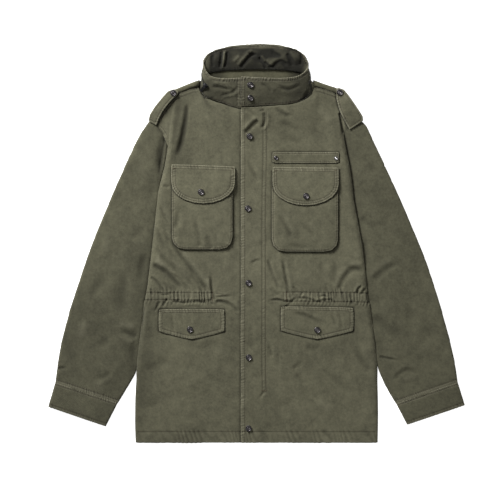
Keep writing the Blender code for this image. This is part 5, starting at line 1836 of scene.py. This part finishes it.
@dataclass
class FrontRight(ClothPiece):
    """The right front, whose edge lies hidden under the fly.

    Attributes:
        channel_gap: Offset of the drawcord channel's rows from its middle, in mm.
    """

    channel_gap: float = 8.0

    def seams(self, skin: Skin) -> list[Seam]:
        """Give the hem, shoulder, armhole and drawcord channel.

        Args:
            skin: The piece's coarse skin.

        Returns:
            The seams.
        """
        hem = skin.edge((12.0, -436.9), (-264.0, -436.9), (-120.0, -436.9))
        shoulder = skin.edge((-127.0, 343.2), (-223.3, 270.1), (-166.0, 332.0))
        armhole = Line.through((-214, 259), (-206, 250), (-199, 238))
        waist = ((-268, -115), (-234, -115), (-190, -115), (-140, -115.5), (-93, -115.5))
        channel = Line.through(*waist, step=10.0)
        loose = Line.through((-92, -108.5), (-82, -109), (-74, -110.5))
        gap = self.channel_gap
        return [
            Seam(hem, (HEM_ROW,), HEM_PUCKER, 0.4, 0.2, 0.3, 21),
            Seam(shoulder, SHOULDER_ROWS, Pucker(5.0, 0.45, 0.0, 9.0, 3.0), 0.4, 0.0, 0.5, 22),
            Seam(armhole, (-2.5, 2.5), Pucker(5.0, 0.3, -3.0, 3.0, 2.0), 0.4, 0.0, 0.6, 23),
            Seam(channel, (-gap, gap), CHANNEL_PUCKER, 0.8, 0.0, 0.4, 24),
            Seam(channel, (), GATHER_ABOVE, 0.0, 0.0, 0.1, 26),
            Seam(channel, (), GATHER_BELOW, 0.0, 0.0, 0.1, 27),
            Seam(loose, (0.0,), Pucker(5.0, 0.2, -3.0, 3.0, 2.0), 0.4, 0.0, 0.2, 25),
        ]

    def settle(self, skin: Skin) -> None:
        """Give the front its creases and the bands of painted shade beside the fly and its edges.

        Args:
            skin: The piece's skin.
        """
        side_push(skin, -1.0)
        self.crumple(skin, body_unevenness(skin.points[:, 0], skin.points[:, 1]))
        for shade in RIGHT_SHADES:
            shade.cast(skin)
        # Painted shadow below the collar's neck seam.
        skin.shade_beside(neck_seam().flat(), 2.6, 0.5, 0.3)


@dataclass
class Plate(ClothPiece):
    """A pocket, flap, strap or strip that lies on the body and is sewn round its edge.

    Attributes:
        rows: Offsets of the rows of stitches from the edge, in mm.
        pucker: The ridges along the edge.
        bead: Height of the rounded lip, in mm.
        wear: How far the edge is worn pale.
        seed: Fixed seed of the unevenness.
        top_row: Offset of a further row from the upper edge, in mm, or 0 for none.
    """

    rows: tuple[float, ...] = (3.0,)
    pucker: Pucker = Pucker()
    bead: float = 0.25
    wear: float = 1.0
    seed: int = 1
    top_row: float = 0.0

    def settle(self, skin: Skin) -> None:
        """Give the plate its creases and paint shade on its side walls."""
        super().settle(skin)
        # Painted shade on the side walls, which face away from the light above.
        skin.painted_shade += 0.75 * ease((0.55 - skin.normals()[:, 2]) * 2.0)

    def seams(self, skin: Skin) -> list[Seam]:
        """Give the seam round the edge and the further row along its upper side.

        Args:
            skin: The piece's coarse skin.

        Returns:
            The seams.
        """
        seams = [Seam(outline(skin), self.rows, self.pucker, 0.4, self.bead, self.wear, self.seed)]
        if self.top_row:
            low, high = (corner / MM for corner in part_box(self.node))
            top = skin.edge((low.x, high.y), (high.x, high.y), ((low.x + high.x) / 2, high.y))
            seams.append(Seam(top, (self.top_row,), Pucker(6.0, 0.0), 0.45, 0.0, 0.0, self.seed + 9))
        return seams


# Half the length of each row on the back and its height on the garment, in mm: the hem, then the channel.
BACK_ROWS = ((262, -412.5), (238, -107), (240, -127))


@dataclass
class Back(ClothPiece):
    """The back, which the garment lies on: flat below, creased where its inside shows in the neck.

    Attributes:
        raised: How far its edge at the neck goes on under the collar, in mm.
    """

    raised: float = 7.0

    def settle(self, skin: Skin) -> None:
        """Fold the inside alone, because the outside rests on the floor, and paint shade on the inside.

        Args:
            skin: The piece's skin.
        """
        x, y = skin.points[:, 0], skin.points[:, 1]
        skin.points[:, 1] += self.raised * ramp(y, 355.0, 367.0) * ramp(np.abs(x), 122.0, 110.0)
        inside = ease(skin.normals()[:, 2] * 1.6)
        skin.press(inside * (0.4 * rumple(x, y, 30.0, 8) + fold_height(self.folds, x, y)))
        # Painted shade on the inside: a little all over, more from the foot of the collar's back wall onwards
        # and most in pools at the ends of the neck.
        pool = ramp(np.abs(x), 55.0, 85.0) * ramp(np.abs(x), 112.0, 104.0) * ramp(y, 345.0, 365.0)
        skin.painted_shade += (0.25 + 0.3 * ramp(y, 377.0, 383.0) + 0.8 * pool) * (skin.normals()[:, 2] > 0)

    def stitch(self, shop: Workshop, tree: BVHTree, seams: list[Seam]) -> None:
        """Lay the hem's and the channel's rows on the side that rests on the floor.

        Args:
            shop: The workshop.
            tree: Search tree of the finished skin, in mm.
            seams: The piece's seams; not used.
        """
        for half, height in BACK_ROWS:
            line = Line.through((-half, height), (half, height), step=20.0)
            shop.sewing.lay("back", line, tree, below=True)

    def material(self, shop: Workshop) -> bpy.types.Material:
        """Give the finish of the cloth's inside."""
        return shop.finishes.lining


Ends = tuple[tuple[float, float], tuple[float, float]]
CUFF_ROW = 5.4
RIGHT_CUFF_END = ((-442.5, -303.0), (-303.6, -348.7))
LEFT_CUFF_END = ((305.4, -349.8), (442.6, -302.5))
RIGHT_SIDE = ((-223, 270), (-205, 245), (-193, 214), (-203, 150), (-222, 20), (-243, -150), (-255, -290))
LEFT_SIDE = ((222, 266), (196, 256), (190, 247), (207, 130), (222, 20), (243, -150), (255, -290))


@dataclass
class Sleeve(ClothPiece):
    """A sleeve, as the tube's outer wall.

    Attributes:
        cuff_end: The two ends of its lower edge, in mm, with the sleeve on the left of the run between them.
        body_side: The side of the front that lies over it, in mm.
        seed: Fixed seed of the unevenness.
        shade: How much shade is painted on the sleeve at its lower end, of which a quarter reaches its top.
        side_shade: How much broad shade is painted on the cloth beside the front.
        corner: Its upper corner, in mm, which is tucked under the front.
        tuck: How far the corner is tucked, in mm.
        reach: Distance from the corner at which the tuck ends, in mm.
        lap: How far the lower edge goes on into the cuff, in mm.
    """

    cuff_end: Ends = ((0, 0), (1, 1))
    body_side: tuple[tuple[float, float], ...] = ((0, 0), (1, 1))
    seed: int = 1
    shade: float = 0.0
    side_shade: float = 0.3
    corner: tuple[float, float] = (192.5, 247.0)
    tuck: float = 4.5
    reach: float = 16.0
    lap: float = 3.0

    def seams(self, skin: Skin) -> list[Seam]:
        """Give the seam to the cuff."""
        end = Line.through(*self.cuff_end, step=20.0)
        return [Seam(end, (CUFF_ROW,), CUFF_PUCKER, 0.6, 0.0, 1.3, self.seed)]

    def settle(self, skin: Skin) -> None:
        """Give the sleeve its creases, on the side that faces up, and its painted shade.

        Args:
            skin: The piece's skin.
        """
        x, y = skin.points[:, 0], skin.points[:, 1]
        soft = 0.9 * rumple(x, y, 70.0, self.seed) + 0.35 * rumple(x, y, 27.0, self.seed + 1)
        soft += 0.1 * rumple(x, y, 10.0, self.seed + 2)
        self.crumple(skin, soft)
        # Painted shade, stronger towards the cuff.
        skin.painted_shade += self.shade * (0.25 + 0.75 * ramp(y, 60.0, -180.0))
        side = Line.through(*self.body_side, step=30.0)
        # Painted shadow of the front's side on the sleeve: a narrow dark band, then a broad one.
        skin.shade_beside(side, 6.0, 0.85, 1.0)
        skin.shade_beside(side, 16.0, self.side_shade, 0.0)
        tuck = ease(1.0 - np.linalg.norm(skin.points[:, :2] - np.array(self.corner), axis=1) / self.reach)
        inward = np.array([-0.85 * math.copysign(1.0, self.corner[0]), 0.5])
        skin.points[:, :2] += self.tuck * tuck[:, None] * inward
        end = Line.through(*self.cuff_end, step=20.0)
        gap, _, _ = end.measure(skin.points[:, :2], 8.0)
        heading = end.points[-1] - end.points[0]
        away = np.array([heading[1], -heading[0]]) / np.linalg.norm(heading)
        near = np.where(np.isfinite(gap), ease(1.0 - gap / 8.0), 0.0)
        skin.points[:, :2] += self.lap * near[:, None] * away

    def material(self, shop: Workshop) -> bpy.types.Material:
        """Give the finish of the sleeves' cloth."""
        return shop.finishes.sleeve_cotton

    def stitch(self, shop: Workshop, tree: BVHTree, seams: list[Seam]) -> None:
        """Lay the rows of stitches on both sides of the tube.

        Args:
            shop: The workshop.
            tree: Search tree of the finished skin, in mm.
            seams: The piece's seams.
        """
        for seam in seams:
            for row in seam.rows:
                shop.sewing.lay(self.group, seam.line.shift(row), tree)
                shop.sewing.lay(self.group, seam.line.shift(row), tree, below=True)


@dataclass
class Cuff(Sleeve):
    """A cuff, as a whole tube with its inner wall.

    Attributes:
        open_end: The two ends of its open edge, in mm, with the cuff on the left of the run between them.
    """

    open_end: Ends = ((0, 0), (1, 1))

    def seams(self, skin: Skin) -> list[Seam]:
        """Give the seam to the sleeve and the turned edge.

        Args:
            skin: The piece's coarse skin; not used.

        Returns:
            The seams.
        """
        top = Line.through(*self.cuff_end[::-1], step=20.0)
        edge = Line.through(*self.open_end, step=20.0)
        return [
            Seam(top, (CUFF_ROW,), CUFF_PUCKER, 0.6, 0.4, 1.3, self.seed),
            Seam(edge, (7.0,), Pucker(6.0, 0.45, 1.0, 6.5, 2.5), 0.45, 0.3, 0.7, self.seed + 5),
        ]

    def seam_mask(self, skin: Skin) -> np.ndarray:
        """Let the seams shape the outer wall alone."""
        middle = 0.5 * (skin.points[:, 2].max() + skin.points[:, 2].min())
        return np.where(skin.normals()[:, 2] * (skin.points[:, 2] - middle) > 0, 1.0, 0.0)

    def settle(self, skin: Skin) -> None:
        """Give the upper side its creases, both walls alike, and paint shade over the whole cuff.

        Args:
            skin: The piece's skin.
        """
        x, y, z = skin.points.T
        upper = ramp(z, 2.2, 4.2)
        # Painted shade over the whole cuff.
        skin.painted_shade += 0.1 + self.shade
        soft = 0.5 * rumple(x, y, 40.0, self.seed) + 0.2 * rumple(x, y, 16.0, self.seed + 1)
        skin.points[:, 2] = z + upper * (soft + fold_height(self.folds, x, y))


COLLAR_EDGE_ROW = 5.6
OVERLAP_ROWS = (2.0, 8.5)


@dataclass
class Collar(ClothPiece):
    """The stand collar with the hood's pocket: a crumpled band, bound along its top.

    Attributes:
        top: Its upper edge, from the overlap round the neck.
        neck: Its seam to the body.
        overlap: Its end, which lies over its other end.
    """

    top: Line = field(init=False)
    neck: Line = field(init=False)
    overlap: Line = field(init=False)

    def seams(self, skin: Skin) -> list[Seam]:
        """Give the top edge, the neck seam and the overlap's edge.

        Args:
            skin: The piece's coarse skin; not used.

        Returns:
            The seams.
        """
        return [
            Seam(self.top, (COLLAR_EDGE_ROW,), Pucker(5.6, 0.6, 0.0, 6.0, 2.0), 0.6, 1.1, 1.1, 41),
            Seam(self.neck, (3.0,), Pucker(6.5, 0.15, -1.0, 6.0, 4.0), 0.25, 0.0, 0.2, 42),
            Seam(self.overlap, OVERLAP_ROWS, EDGE_PUCKER, 0.4, 0.6, 0.9, 43),
        ]

    def settle(self, skin: Skin) -> None:
        """Crumple both walls together, upwards or downwards, and paint shade in the troughs, in the hollow of
        the neck and at the ends of the front band.

        Args:
            skin: The piece's skin.
        """
        x, y, z = skin.points.T
        normals = skin.normals()
        up = np.where(normals[:, 2:] < 0, -1.0, 1.0) * normals
        soft = 0.7 * rumple(x * 0.5, y, 18.0, 51) + 0.35 * rumple(x * 0.6, y, 9.0, 52)
        soft = soft * (1.0 + 0.8 * ramp(y, 372.0, 384.0))
        height = soft + fold_height(self.folds, x, y)
        skin.points = skin.points + up * height[:, None]
        # Painted shade in the troughs of the folds.
        skin.painted_shade += 0.32 * np.clip(-height - 0.3, 0.0, 1.8)
        skin.wear += 0.15 * np.clip(height - 0.6, 0.0, 1.5)
        # Painted shade in the hollow of the neck, stronger at the foot of the inner wall and towards its
        # ends.
        hollow = ramp(y, 366.0, 372.0) * ramp(np.abs(x), 112.0, 98.0) * ramp(y, 434.0, 426.0)
        hollow_darkness = 0.9 + 0.25 * ramp(y, 404.0, 382.0) + 0.25 * ramp(np.abs(x + 6.0), 62.0, 82.0)
        skin.painted_shade += hollow * np.clip(hollow_darkness - 0.22 * height, 0.15, 1.35) * (normals[:, 1] < 0.4)
        # Painted shade at both ends of the front band.
        ends = 0.5 * ramp(x, 55.0, 95.0) + 0.35 * ramp(x, -60.0, -100.0)
        skin.painted_shade += ends * ramp(y, 366.0, 356.0)

    def build(self, shop: Workshop) -> bpy.types.Object:
        """Make the collar from the edges of its outer wall.

        Args:
            shop: The workshop that it is made in.

        Returns:
            The finished piece.
        """
        inner = Skin.of_node(self.node, Layer.OUTSIDE)
        front_top, front_low = (-33.7, 365.4, 25.2), (-33.9, 301.4, 16.6)
        under_top = (12.0, 361.5, 21.2)
        self.top = inner.edge(front_top, under_top, (0.0, 438.0, 5.0)).even(3.0)
        self.neck = neck_seam()
        self.overlap = Line(np.array([front_top, front_low])).even(3.0)
        return super().build(shop)

    def material(self, shop: Workshop) -> bpy.types.Material:
        """Give the darkest copy of the cotton, dyed darker as painted shade for the standing collar."""
        return shop.finishes.collar_shaded_cotton

    def stitch(self, shop: Workshop, tree: BVHTree, seams: list[Seam]) -> None:
        """Lay the rows on the outer wall, measured from its top towards the neck.

        Args:
            shop: The workshop.
            tree: Search tree of the finished skin, in mm.
            seams: The piece's seams; not used.
        """
        toward = self.neck.even(self.neck.length / (len(self.top.points) - 1)).points
        if np.linalg.norm(toward[0] - self.top.points[0]) > np.linalg.norm(toward[-1] - self.top.points[0]):
            toward = toward[::-1]
        toward = toward[: len(self.top.points)]
        top = self.top.points[: len(toward)]
        across = toward - top
        across /= np.linalg.norm(across, axis=1, keepdims=True)
        shop.sewing.lay(self.group, Line(top + across * COLLAR_EDGE_ROW), tree)
        front = np.abs(toward[:, 0]) < 96.0
        shop.sewing.lay(self.group, Line((toward - across * 3.0)[front & (toward[:, 1] < 340.0)]), tree)
        behind = self.top.points[self.top.points[:, 1] > 372.0]
        shop.sewing.lay(self.group, Line(behind[:, :2] - np.array([0.0, 6.5])), tree)
        for row in OVERLAP_ROWS:
            shift = np.array([row, 0.0, 0.5])
            shop.sewing.lay(self.group, Line(self.overlap.points + shift), tree)


# ---------------------------------------------------------------- fasteners


def turned(
    profile: Iterable[tuple[float, float]], sides: int, dent: Callable[[float, float], float]
) -> tuple[list, list]:
    """Turn a profile round the Z axis.

    Args:
        profile: Radius and height of each ring, from the middle outwards and down.
        sides: Number of sides.
        dent: Function of a share of the turn and the radius that gives a change of height.

    Returns:
        Places and faces, with the middle closed.
    """
    rings = list(profile)
    places = [(0.0, 0.0, rings[0][1])]
    for radius, height in rings:
        for side in range(sides):
            angle = 2.0 * math.pi * side / sides
            rise = dent(side / sides, radius)
            places.append((radius * math.cos(angle), radius * math.sin(angle), height + rise))
    faces: list[tuple[int, ...]] = [(0, 1 + side, 1 + (side + 1) % sides) for side in range(sides)]
    for ring in range(len(rings) - 1):
        inner, outer = 1 + ring * sides, 1 + (ring + 1) * sides
        for side in range(sides):
            after = (side + 1) % sides
            faces.append((inner + side, outer + side, outer + after, inner + after))
    return places, faces


# The profile of a cap from its middle outwards, as shares of its radius and of its height.
CAP_RADII = (0.06, 0.13, 0.17, 0.24, 0.3, 0.38, 0.5, 0.6, 0.66, 0.72, 0.8, 0.87, 0.94, 0.99, 1, 0.97, 0.9)
CAP_RISES = (0.62, 0.6, 0.42, 0.42, 0.66, 0.74, 0.7, 0.55, 0.5, 0.62, 0.86, 0.92, 0.82, 0.55, 0.3, 0.05, -0.1)
CAP_SIDES = 40


@dataclass(frozen=True)
class Cap:
    """A turned metal fastener on the cloth.

    Attributes:
        node: Name of its solid.
        slot: Material slot of the record; not used.
        petals: Number of dents round the middle.
        dent: Depth of the dents, as a share of the height.
        turn: Angle of the first dent, in degrees.
    """

    node: str
    slot: str
    petals: int = 5
    dent: float = 0.12
    turn: float = 0.0

    def build(self, material: bpy.types.Material) -> bpy.types.Object:
        """Make the fastener where its solid lies, lifted by the folds under it.

        Args:
            material: Its finish.

        Returns:
            The finished piece.
        """
        low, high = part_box(self.node)
        radius, height = (high.x - low.x) / 2, high.z - low.z
        middle = (low + high) / 2
        lift = float(body_relief(np.array([middle.x / MM]), np.array([middle.y / MM]))[0]) * MM
        turn = math.radians(self.turn)

        def dented(share: float, distance: float) -> float:
            """Give the dents of the petals, strongest half way out.

            Args:
                share: Share of the turn.
                distance: Distance from the middle, in metres.

            Returns:
                The change of height, in metres.
            """
            wave = math.cos(2 * math.pi * share * self.petals + turn)
            fade = math.exp(-(((distance / radius - 0.42) / 0.16) ** 2))
            return -self.dent * height * max(0.0, wave) * fade

        profile = [(share * radius, level * height) for share, level in zip(CAP_RADII, CAP_RISES)]
        places, faces = turned(profile, CAP_SIDES, dented)
        mesh = bpy.data.meshes.new(f"{self.node}_cap")
        mesh.from_pydata([(x + middle.x, y + middle.y, z + low.z + lift) for x, y, z in places], [], faces)
        mesh.shade_smooth()
        mesh.materials.append(material)
        piece = new_object(mesh.name, mesh)
        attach(piece, JACKET)
        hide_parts(self.node)
        log.info("%s: %d faces", piece.name, len(faces))
        return piece


SNAP = "snap_metal"
SNAPS = (
    Cap("snap_collar_top", SNAP, 5, 0.14, 20.0),
    Cap("snap_collar_low", SNAP, 5, 0.14, 130.0),
    Cap("snap_fly_1", SNAP, 5, 0.14, 75.0),
    Cap("snap_fly_2", SNAP, 5, 0.14, 250.0),
    Cap("snap_fly_3", SNAP, 5, 0.16, 10.0),
    Cap("snap_fly_4", SNAP, 5, 0.14, 200.0),
    Cap("snap_fly_5", SNAP, 5, 0.16, 310.0),
    Cap("snap_chest_right", SNAP, 5, 0.14, 45.0),
    Cap("snap_chest_left", SNAP, 5, 0.14, 95.0),
    Cap("snap_lower_right", SNAP, 5, 0.15, 160.0),
    Cap("snap_lower_left", SNAP, 5, 0.15, 220.0),
    Cap("snap_strap_right", SNAP, 5, 0.14, 285.0),
    Cap("snap_strap_left", SNAP, 5, 0.14, 340.0),
)
INNER_RIVET = Cap("rivet_inner", "rivet_metal", 0, 0.0)
OUTER_RIVET = Cap("rivet_outer", "rivet_metal", 0, 0.0)


def softened(
    node: str, name: str, width: float, material: bpy.types.Material, body: str
) -> bpy.types.Object:
    """Copy a small metal solid with rounded edges.

    Args:
        node: Name of the solid.
        name: Name of the piece.
        width: Width of the rounding, in mm.
        material: Its finish.
        body: The body that it rides on.

    Returns:
        The finished piece.
    """
    shape = bmesh.new()
    shape.from_mesh(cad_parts[node].data)
    bmesh.ops.remove_doubles(shape, verts=shape.verts, dist=DOUBLES * MM)
    bmesh.ops.dissolve_limit(shape, angle_limit=math.radians(3), verts=shape.verts, edges=shape.edges)
    mesh = bpy.data.meshes.new(name)
    shape.to_mesh(mesh)
    shape.free()
    mesh.materials.append(material)
    piece = new_object(name, mesh)
    bevel = piece.modifiers.new("rounding", "BEVEL")
    bevel.width = width * MM
    bevel.segments = 3
    bevel.limit_method = "ANGLE"
    bevel.angle_limit = math.radians(35)
    bevel.harden_normals = True
    mesh.shade_smooth()
    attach(piece, body)
    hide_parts(node)
    log.info("%s: %d faces before its edges are rounded", name, len(mesh.polygons))
    return piece


# ---------------------------------------------------------------- collar zip


@dataclass
class Zip:
    """The collar zip: its tape and coil, the slider and the pull tab.

    Attributes:
        coil: Size and pitch of the coil's turns, in mm.
        centre: Place in the neck that the outer face of the tape looks away from, in mm.
        lowest: Height over the floor at which the coil ends, in mm.
    """

    coil: Stitch = Stitch(pitch=1.7, length=0.95, width=3.2, height=1.3)
    centre: tuple[float, float, float] = (0.0, 360.0, 10.0)
    lowest: float = 1.9

    def middle(self, tape: Skin) -> list[Run]:
        """Find the runs along the middle of the tape's outer face.

        Args:
            tape: The tape's skin.

        Returns:
            For each stretch, its places in mm and the directions away from the tape.
        """
        normals, areas = face_normals(tape.points, tape.faces)
        places = tape.points[tape.faces].mean(1)
        radial = places - np.array(self.centre)
        outer = (normals * radial).sum(1) > 0.3 * np.linalg.norm(radial, axis=1)
        angle = np.arctan2(radial[:, 0], radial[:, 1])
        runs = [[]]
        for low in np.arange(-math.pi, math.pi, math.radians(2.0)):
            here = outer & (angle >= low) & (angle < low + math.radians(3.5))
            middle = np.average(places[here], axis=0, weights=areas[here]) if here.sum() > 5 else None
            if middle is not None and middle[2] > self.lowest:
                away = np.average(normals[here], axis=0, weights=areas[here])
                runs[-1].append((middle, away / np.linalg.norm(away)))
            else:
                runs.append([])
        return long_runs(runs, 3)

    def build(self, shop: Workshop) -> None:
        """Make the tape, the rows of its coil, the slider and the pull tab.

        Args:
            shop: The workshop.
        """
        metal = shop.finishes.zip_metal
        tape = Skin.of_node("collar_zip", Layer.WHOLE)
        tape.refine(2.5)
        tape.relax(6, 0.3)
        tape.start_marks()
        shop.sewing.rows["zip_coil"] = self.middle(tape)
        shop.sewing.finish("zip_coil", "zip_coil", self.coil, metal)
        piece = build_object("collar_zip_tape", tape, shop.finishes.zip_tape)
        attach(piece, JACKET)
        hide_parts("collar_zip")
        softened("zip_slider", "zip_slider_body", 0.35, metal, JACKET)
        softened("zip_pull", "zip_pull_tab", 0.3, metal, PULL_TAB)
        log.info("%s: %d triangles", piece.name, len(tape.faces))


# ---------------------------------------------------------------- the jacket


TACK = Stitch(pitch=0.8, length=2.3, width=0.8, height=0.55, turn=90.0)
TACKS = (
    ((11, -322.5), (23, -322.5)),
    ((-96, -104), (-96, -126)),
    ((66, -105), (66, -128)),
    ((-183.5, 166), (-177, 166)),
    ((-56, 166), (-50, 166)),
    ((39, 161), (45, 161)),
    ((171, 161), (177, 161)),
)
TACKED = ("chest_flap_right", "chest_flap_left", "front_left", "front_right")


def on_piece(node: str, place: tuple[float, float]) -> bool:
    """Tell whether a place in mm lies within a solid's box, as seen from above."""
    low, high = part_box(node)
    return low.x < place[0] * MM < high.x and low.y < place[1] * MM < high.y


@dataclass
class Jacket:
    """The whole field jacket, from the back up to its fasteners.

    Attributes:
        shop: The workshop that it is made in.
    """

    shop: Workshop = field(default_factory=Workshop)

    def body(self) -> list[ClothPiece]:
        """List the back and the fronts.

        Returns:
            The pieces, from the lowest up.
        """
        right = ("chest_pocket_right", "lower_flap_right", "shoulder_strap_right")
        left = ("chest_pocket_left", "lower_flap_left", "shoulder_strap_left", "name_strip")
        on = ("back", "front_right")
        front = {"layer": Layer.UPPER, "coarse": 5.0, "fine": 2.2}
        return [
            Back("back", (0.535, 0.83), 0.40, (), Layer.WHOLE, 14.0, 0.0, 0.4),
            FrontRight("front_right", (0.28, 0.78), 0.19, ("back",), folds=RIGHT_FOLDS, under=right, **front),
            FrontLeft("front_left", (0.31, 0.78), 0.21, on, folds=LEFT_FOLDS, under=left, **front),
        ]

    def plates(self) -> list[ClothPiece]:
        """List what is sewn flat on the fronts.

        Returns:
            The pieces, from the lowest up.
        """
        pocket = {"rows": (2.6,), "pucker": POCKET_PUCKER, "wear": 0.6}
        flap = {"coarse": 3.5, "rows": (3.6, 8.6), "pucker": FLAP_PUCKER}
        lower = {"coarse": 3.5, "rows": (7.5,), "pucker": LOWER_FLAP_PUCKER, "wear": 0.8}
        lower |= {"melt": 2.0, "top_row": 3.2}
        strip = {"coarse": 3.0, "rows": (2.4,), "pucker": STRIP_PUCKER, "wear": 0.9}
        strap = {"coarse": 3.0, "rows": (4.2,), "pucker": STRAP_PUCKER, "wear": 0.9}
        right, left = ("front_right",), ("front_left",)
        pocket_right = {"folds": RIGHT_POCKET_FOLDS, "under": ("chest_flap_right",), **pocket}
        pocket_left = {"folds": LEFT_POCKET_FOLDS, "under": ("chest_flap_left",), **pocket}
        return [
            Plate("chest_pocket_right", (0.148, 0.19), 0.0248, right, seed=61, **pocket_right),
            Plate("chest_pocket_left", (0.16, 0.19), 0.0268, left, seed=62, **pocket_left),
            Plate("chest_flap_right", (0.14, 0.087), 0.0105, ("chest_pocket_right",), seed=63, **flap),
            Plate("chest_flap_left", (0.146, 0.086), 0.0107, ("chest_pocket_left",), seed=64, **flap),
            Plate("lower_flap_right", (0.15, 0.074), 0.009, right, seed=65, folds=RIGHT_FLAP_FOLDS, **lower),
            Plate("lower_flap_left", (0.166, 0.079), 0.0105, left, seed=66, folds=LEFT_FLAP_FOLDS, **lower),
            Plate("name_strip", (0.15, 0.027), 0.0038, ("front_left", "chest_pocket_left"), seed=67, **strip),
            Plate("shoulder_strap_right", (0.072, 0.038), 0.0025, right, seed=68, **strap),
            Plate("shoulder_strap_left", (0.1, 0.038), 0.0035, left, seed=69, **strap),
        ]

    def sleeves(self) -> list[ClothPiece]:
        """List the sleeves and their cuffs.

        Returns:
            The sleeves, then the cuffs.
        """
        right = {"group": "sleeves", "cuff_end": RIGHT_CUFF_END, "grain": 22.0}
        left = {"group": "sleeves", "cuff_end": LEFT_CUFF_END, "grain": -22.0}
        tube = {"layer": Layer.OUTSIDE, "coarse": 5.5, "melt": 1.2}
        # The right sleeve's painted shade and its tucked corner.
        dark = {"shade": 0.22, "side_shade": 0.06, "corner": (-200.0, 240.0)}
        right_sleeve = {"folds": RIGHT_SLEEVE_FOLDS, "body_side": RIGHT_SIDE, **dark, **tube, **right}
        left_sleeve = {"folds": LEFT_SLEEVE_FOLDS, "body_side": LEFT_SIDE, **tube, **left}
        # The right cuff takes more painted shade.
        right_cuff = {"open_end": ((-458.7, -357.9), (-331.0, -401.5)), "shade": 0.2, **right}
        left_cuff = {"open_end": ((330.7, -397.8), (458.7, -354.4)), **left}
        return [
            Sleeve("sleeve_right", (0.3, 0.64), 0.157, ("back",), seed=71, **right_sleeve),
            Sleeve("sleeve_left", (0.3, 0.64), 0.16, ("back",), seed=75, **left_sleeve),
            Cuff("cuff_right", (0.3, 0.06), 0.0165, ("sleeve_right",), Layer.WHOLE, seed=81, **right_cuff),
            Cuff("cuff_left", (0.285, 0.06), 0.016, ("sleeve_left",), Layer.WHOLE, seed=85, **left_cuff),
        ]

    def collar(self) -> Collar:
        """Give the collar.

        Returns:
            The collar.
        """
        on = ("front_left", "front_right", "back")
        band = {"folds": COLLAR_FOLDS, "group": "collar", "grain": 90.0}
        return Collar("collar", (0.52, 0.075), 0.034, on, Layer.WHOLE, 3.2, 1.6, 0.4, **band)

    def fasten(self) -> None:
        """Set the snaps, the rivets and the zip."""
        finishes = self.shop.finishes
        for cap in (*SNAPS, INNER_RIVET):
            cap.build(finishes.gunmetal)
        OUTER_RIVET.build(finishes.nickel)
        Zip().build(self.shop)

    def tack(self) -> None:
        """Lay each bar tack on the uppermost piece of cloth at its place."""
        for start, end in TACKS:
            node = next(name for name in TACKED if on_piece(name, start))
            line = Line.through(start, end, step=4.0)
            self.shop.sewing.lay("tacks", line, self.shop.trees[node], sink=0.0)

    def build(self) -> None:
        """Make every piece and dress it."""
        for piece in (*self.body(), *self.plates(), *self.sleeves(), self.collar()):
            piece.build(self.shop)
        self.fasten()
        self.tack()
        sewing = self.shop.sewing
        for group in [name for name in sewing.rows if name != "zip_coil"]:
            stitch = TACK if group == "tacks" else Stitch()
            sewing.finish(group, f"stitches_{group}", stitch, self.shop.finishes.thread)


# ---------------------------------------------------------------- studio


@dataclass(frozen=True)
class Studio:
    """Camera, floor and light.

    Attributes:
        look: Place on the floor under the camera, in metres.
        distance: Height of the camera, in metres.
        span: Width of the view on the floor, in metres.
        key_place: Place of the main light, in metres.
        key: Its power, in watts.
        fill_place: Place of the light that softens its shadows, in metres.
        fill: Power of that light, as a share of the main one's.
        sky: Strength of the light from all round.
    """

    look: tuple[float, float] = (-0.0187, -0.0176)
    distance: float = 4.5
    span: float = 1.1088
    key_place: tuple[float, float, float] = (-1.75, 2.15, 1.45)
    key: float = 168.0
    fill_place: tuple[float, float, float] = (1.6, -0.6, 3.2)
    fill: float = 0.12
    sky: float = 0.14

    def build(self) -> None:
        """Set up the studio."""
        scene = bpy.context.scene
        scene.view_settings.view_transform = "Standard"
        camera = bpy.data.cameras.new("camera")
        camera.sensor_width = 36.0
        camera.lens = camera.sensor_width * self.distance / self.span
        camera.clip_end = 50.0
        scene.camera = new_object("camera", camera)
        scene.camera.location = (*self.look, self.distance)
        world = bpy.data.worlds.new("studio")
        world.use_nodes = True
        world.node_tree.nodes["Background"].inputs[0].default_value = (1.0, 1.0, 1.0, 1.0)
        world.node_tree.nodes["Background"].inputs[1].default_value = self.sky
        scene.world = world
        self.light("key", self.key_place, 1.0, self.key)
        self.light("side", self.fill_place, 2.4, self.key * self.fill)
        self.floor()
        log.info("studio: camera %.1f m above the floor, two lights", self.distance)

    def light(self, name: str, place: tuple[float, float, float], size: float, power: float) -> None:
        """Hang a square soft light that faces the garment.

        Args:
            name: Name of the light.
            place: Its place, in metres.
            size: Its side, in metres.
            power: Its power, in watts.
        """
        lamp = bpy.data.lights.new(name, "AREA")
        lamp.size = size
        lamp.energy = power
        holder = new_object(name, lamp)
        holder.location = place
        holder.rotation_euler = (-Vector(place)).to_track_quat("-Z", "Y").to_euler()

    def floor(self) -> None:
        """Lay the plain pale floor."""
        shape = bmesh.new()
        bmesh.ops.create_grid(shape, x_segments=1, y_segments=1, size=4.0)
        mesh = bpy.data.meshes.new("floor")
        shape.to_mesh(mesh)
        shape.free()
        material, graph, shader = new_material("pale_floor")
        look = {"Base Color": (0.93, 0.93, 0.925, 1.0), "Roughness": 0.9}
        graph.fill(shader, look | {"Emission Color": (1.0, 1.0, 1.0, 1.0), "Emission Strength": 0.9})
        mesh.materials.append(material)
        floor = new_object("floor", mesh)


def main() -> None:
    """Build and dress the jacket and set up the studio."""
    logging.basicConfig(level=logging.INFO, format="%(name)s: %(message)s")
    Jacket().build()
    Studio().build()


if __name__ == "__main__":
    main()
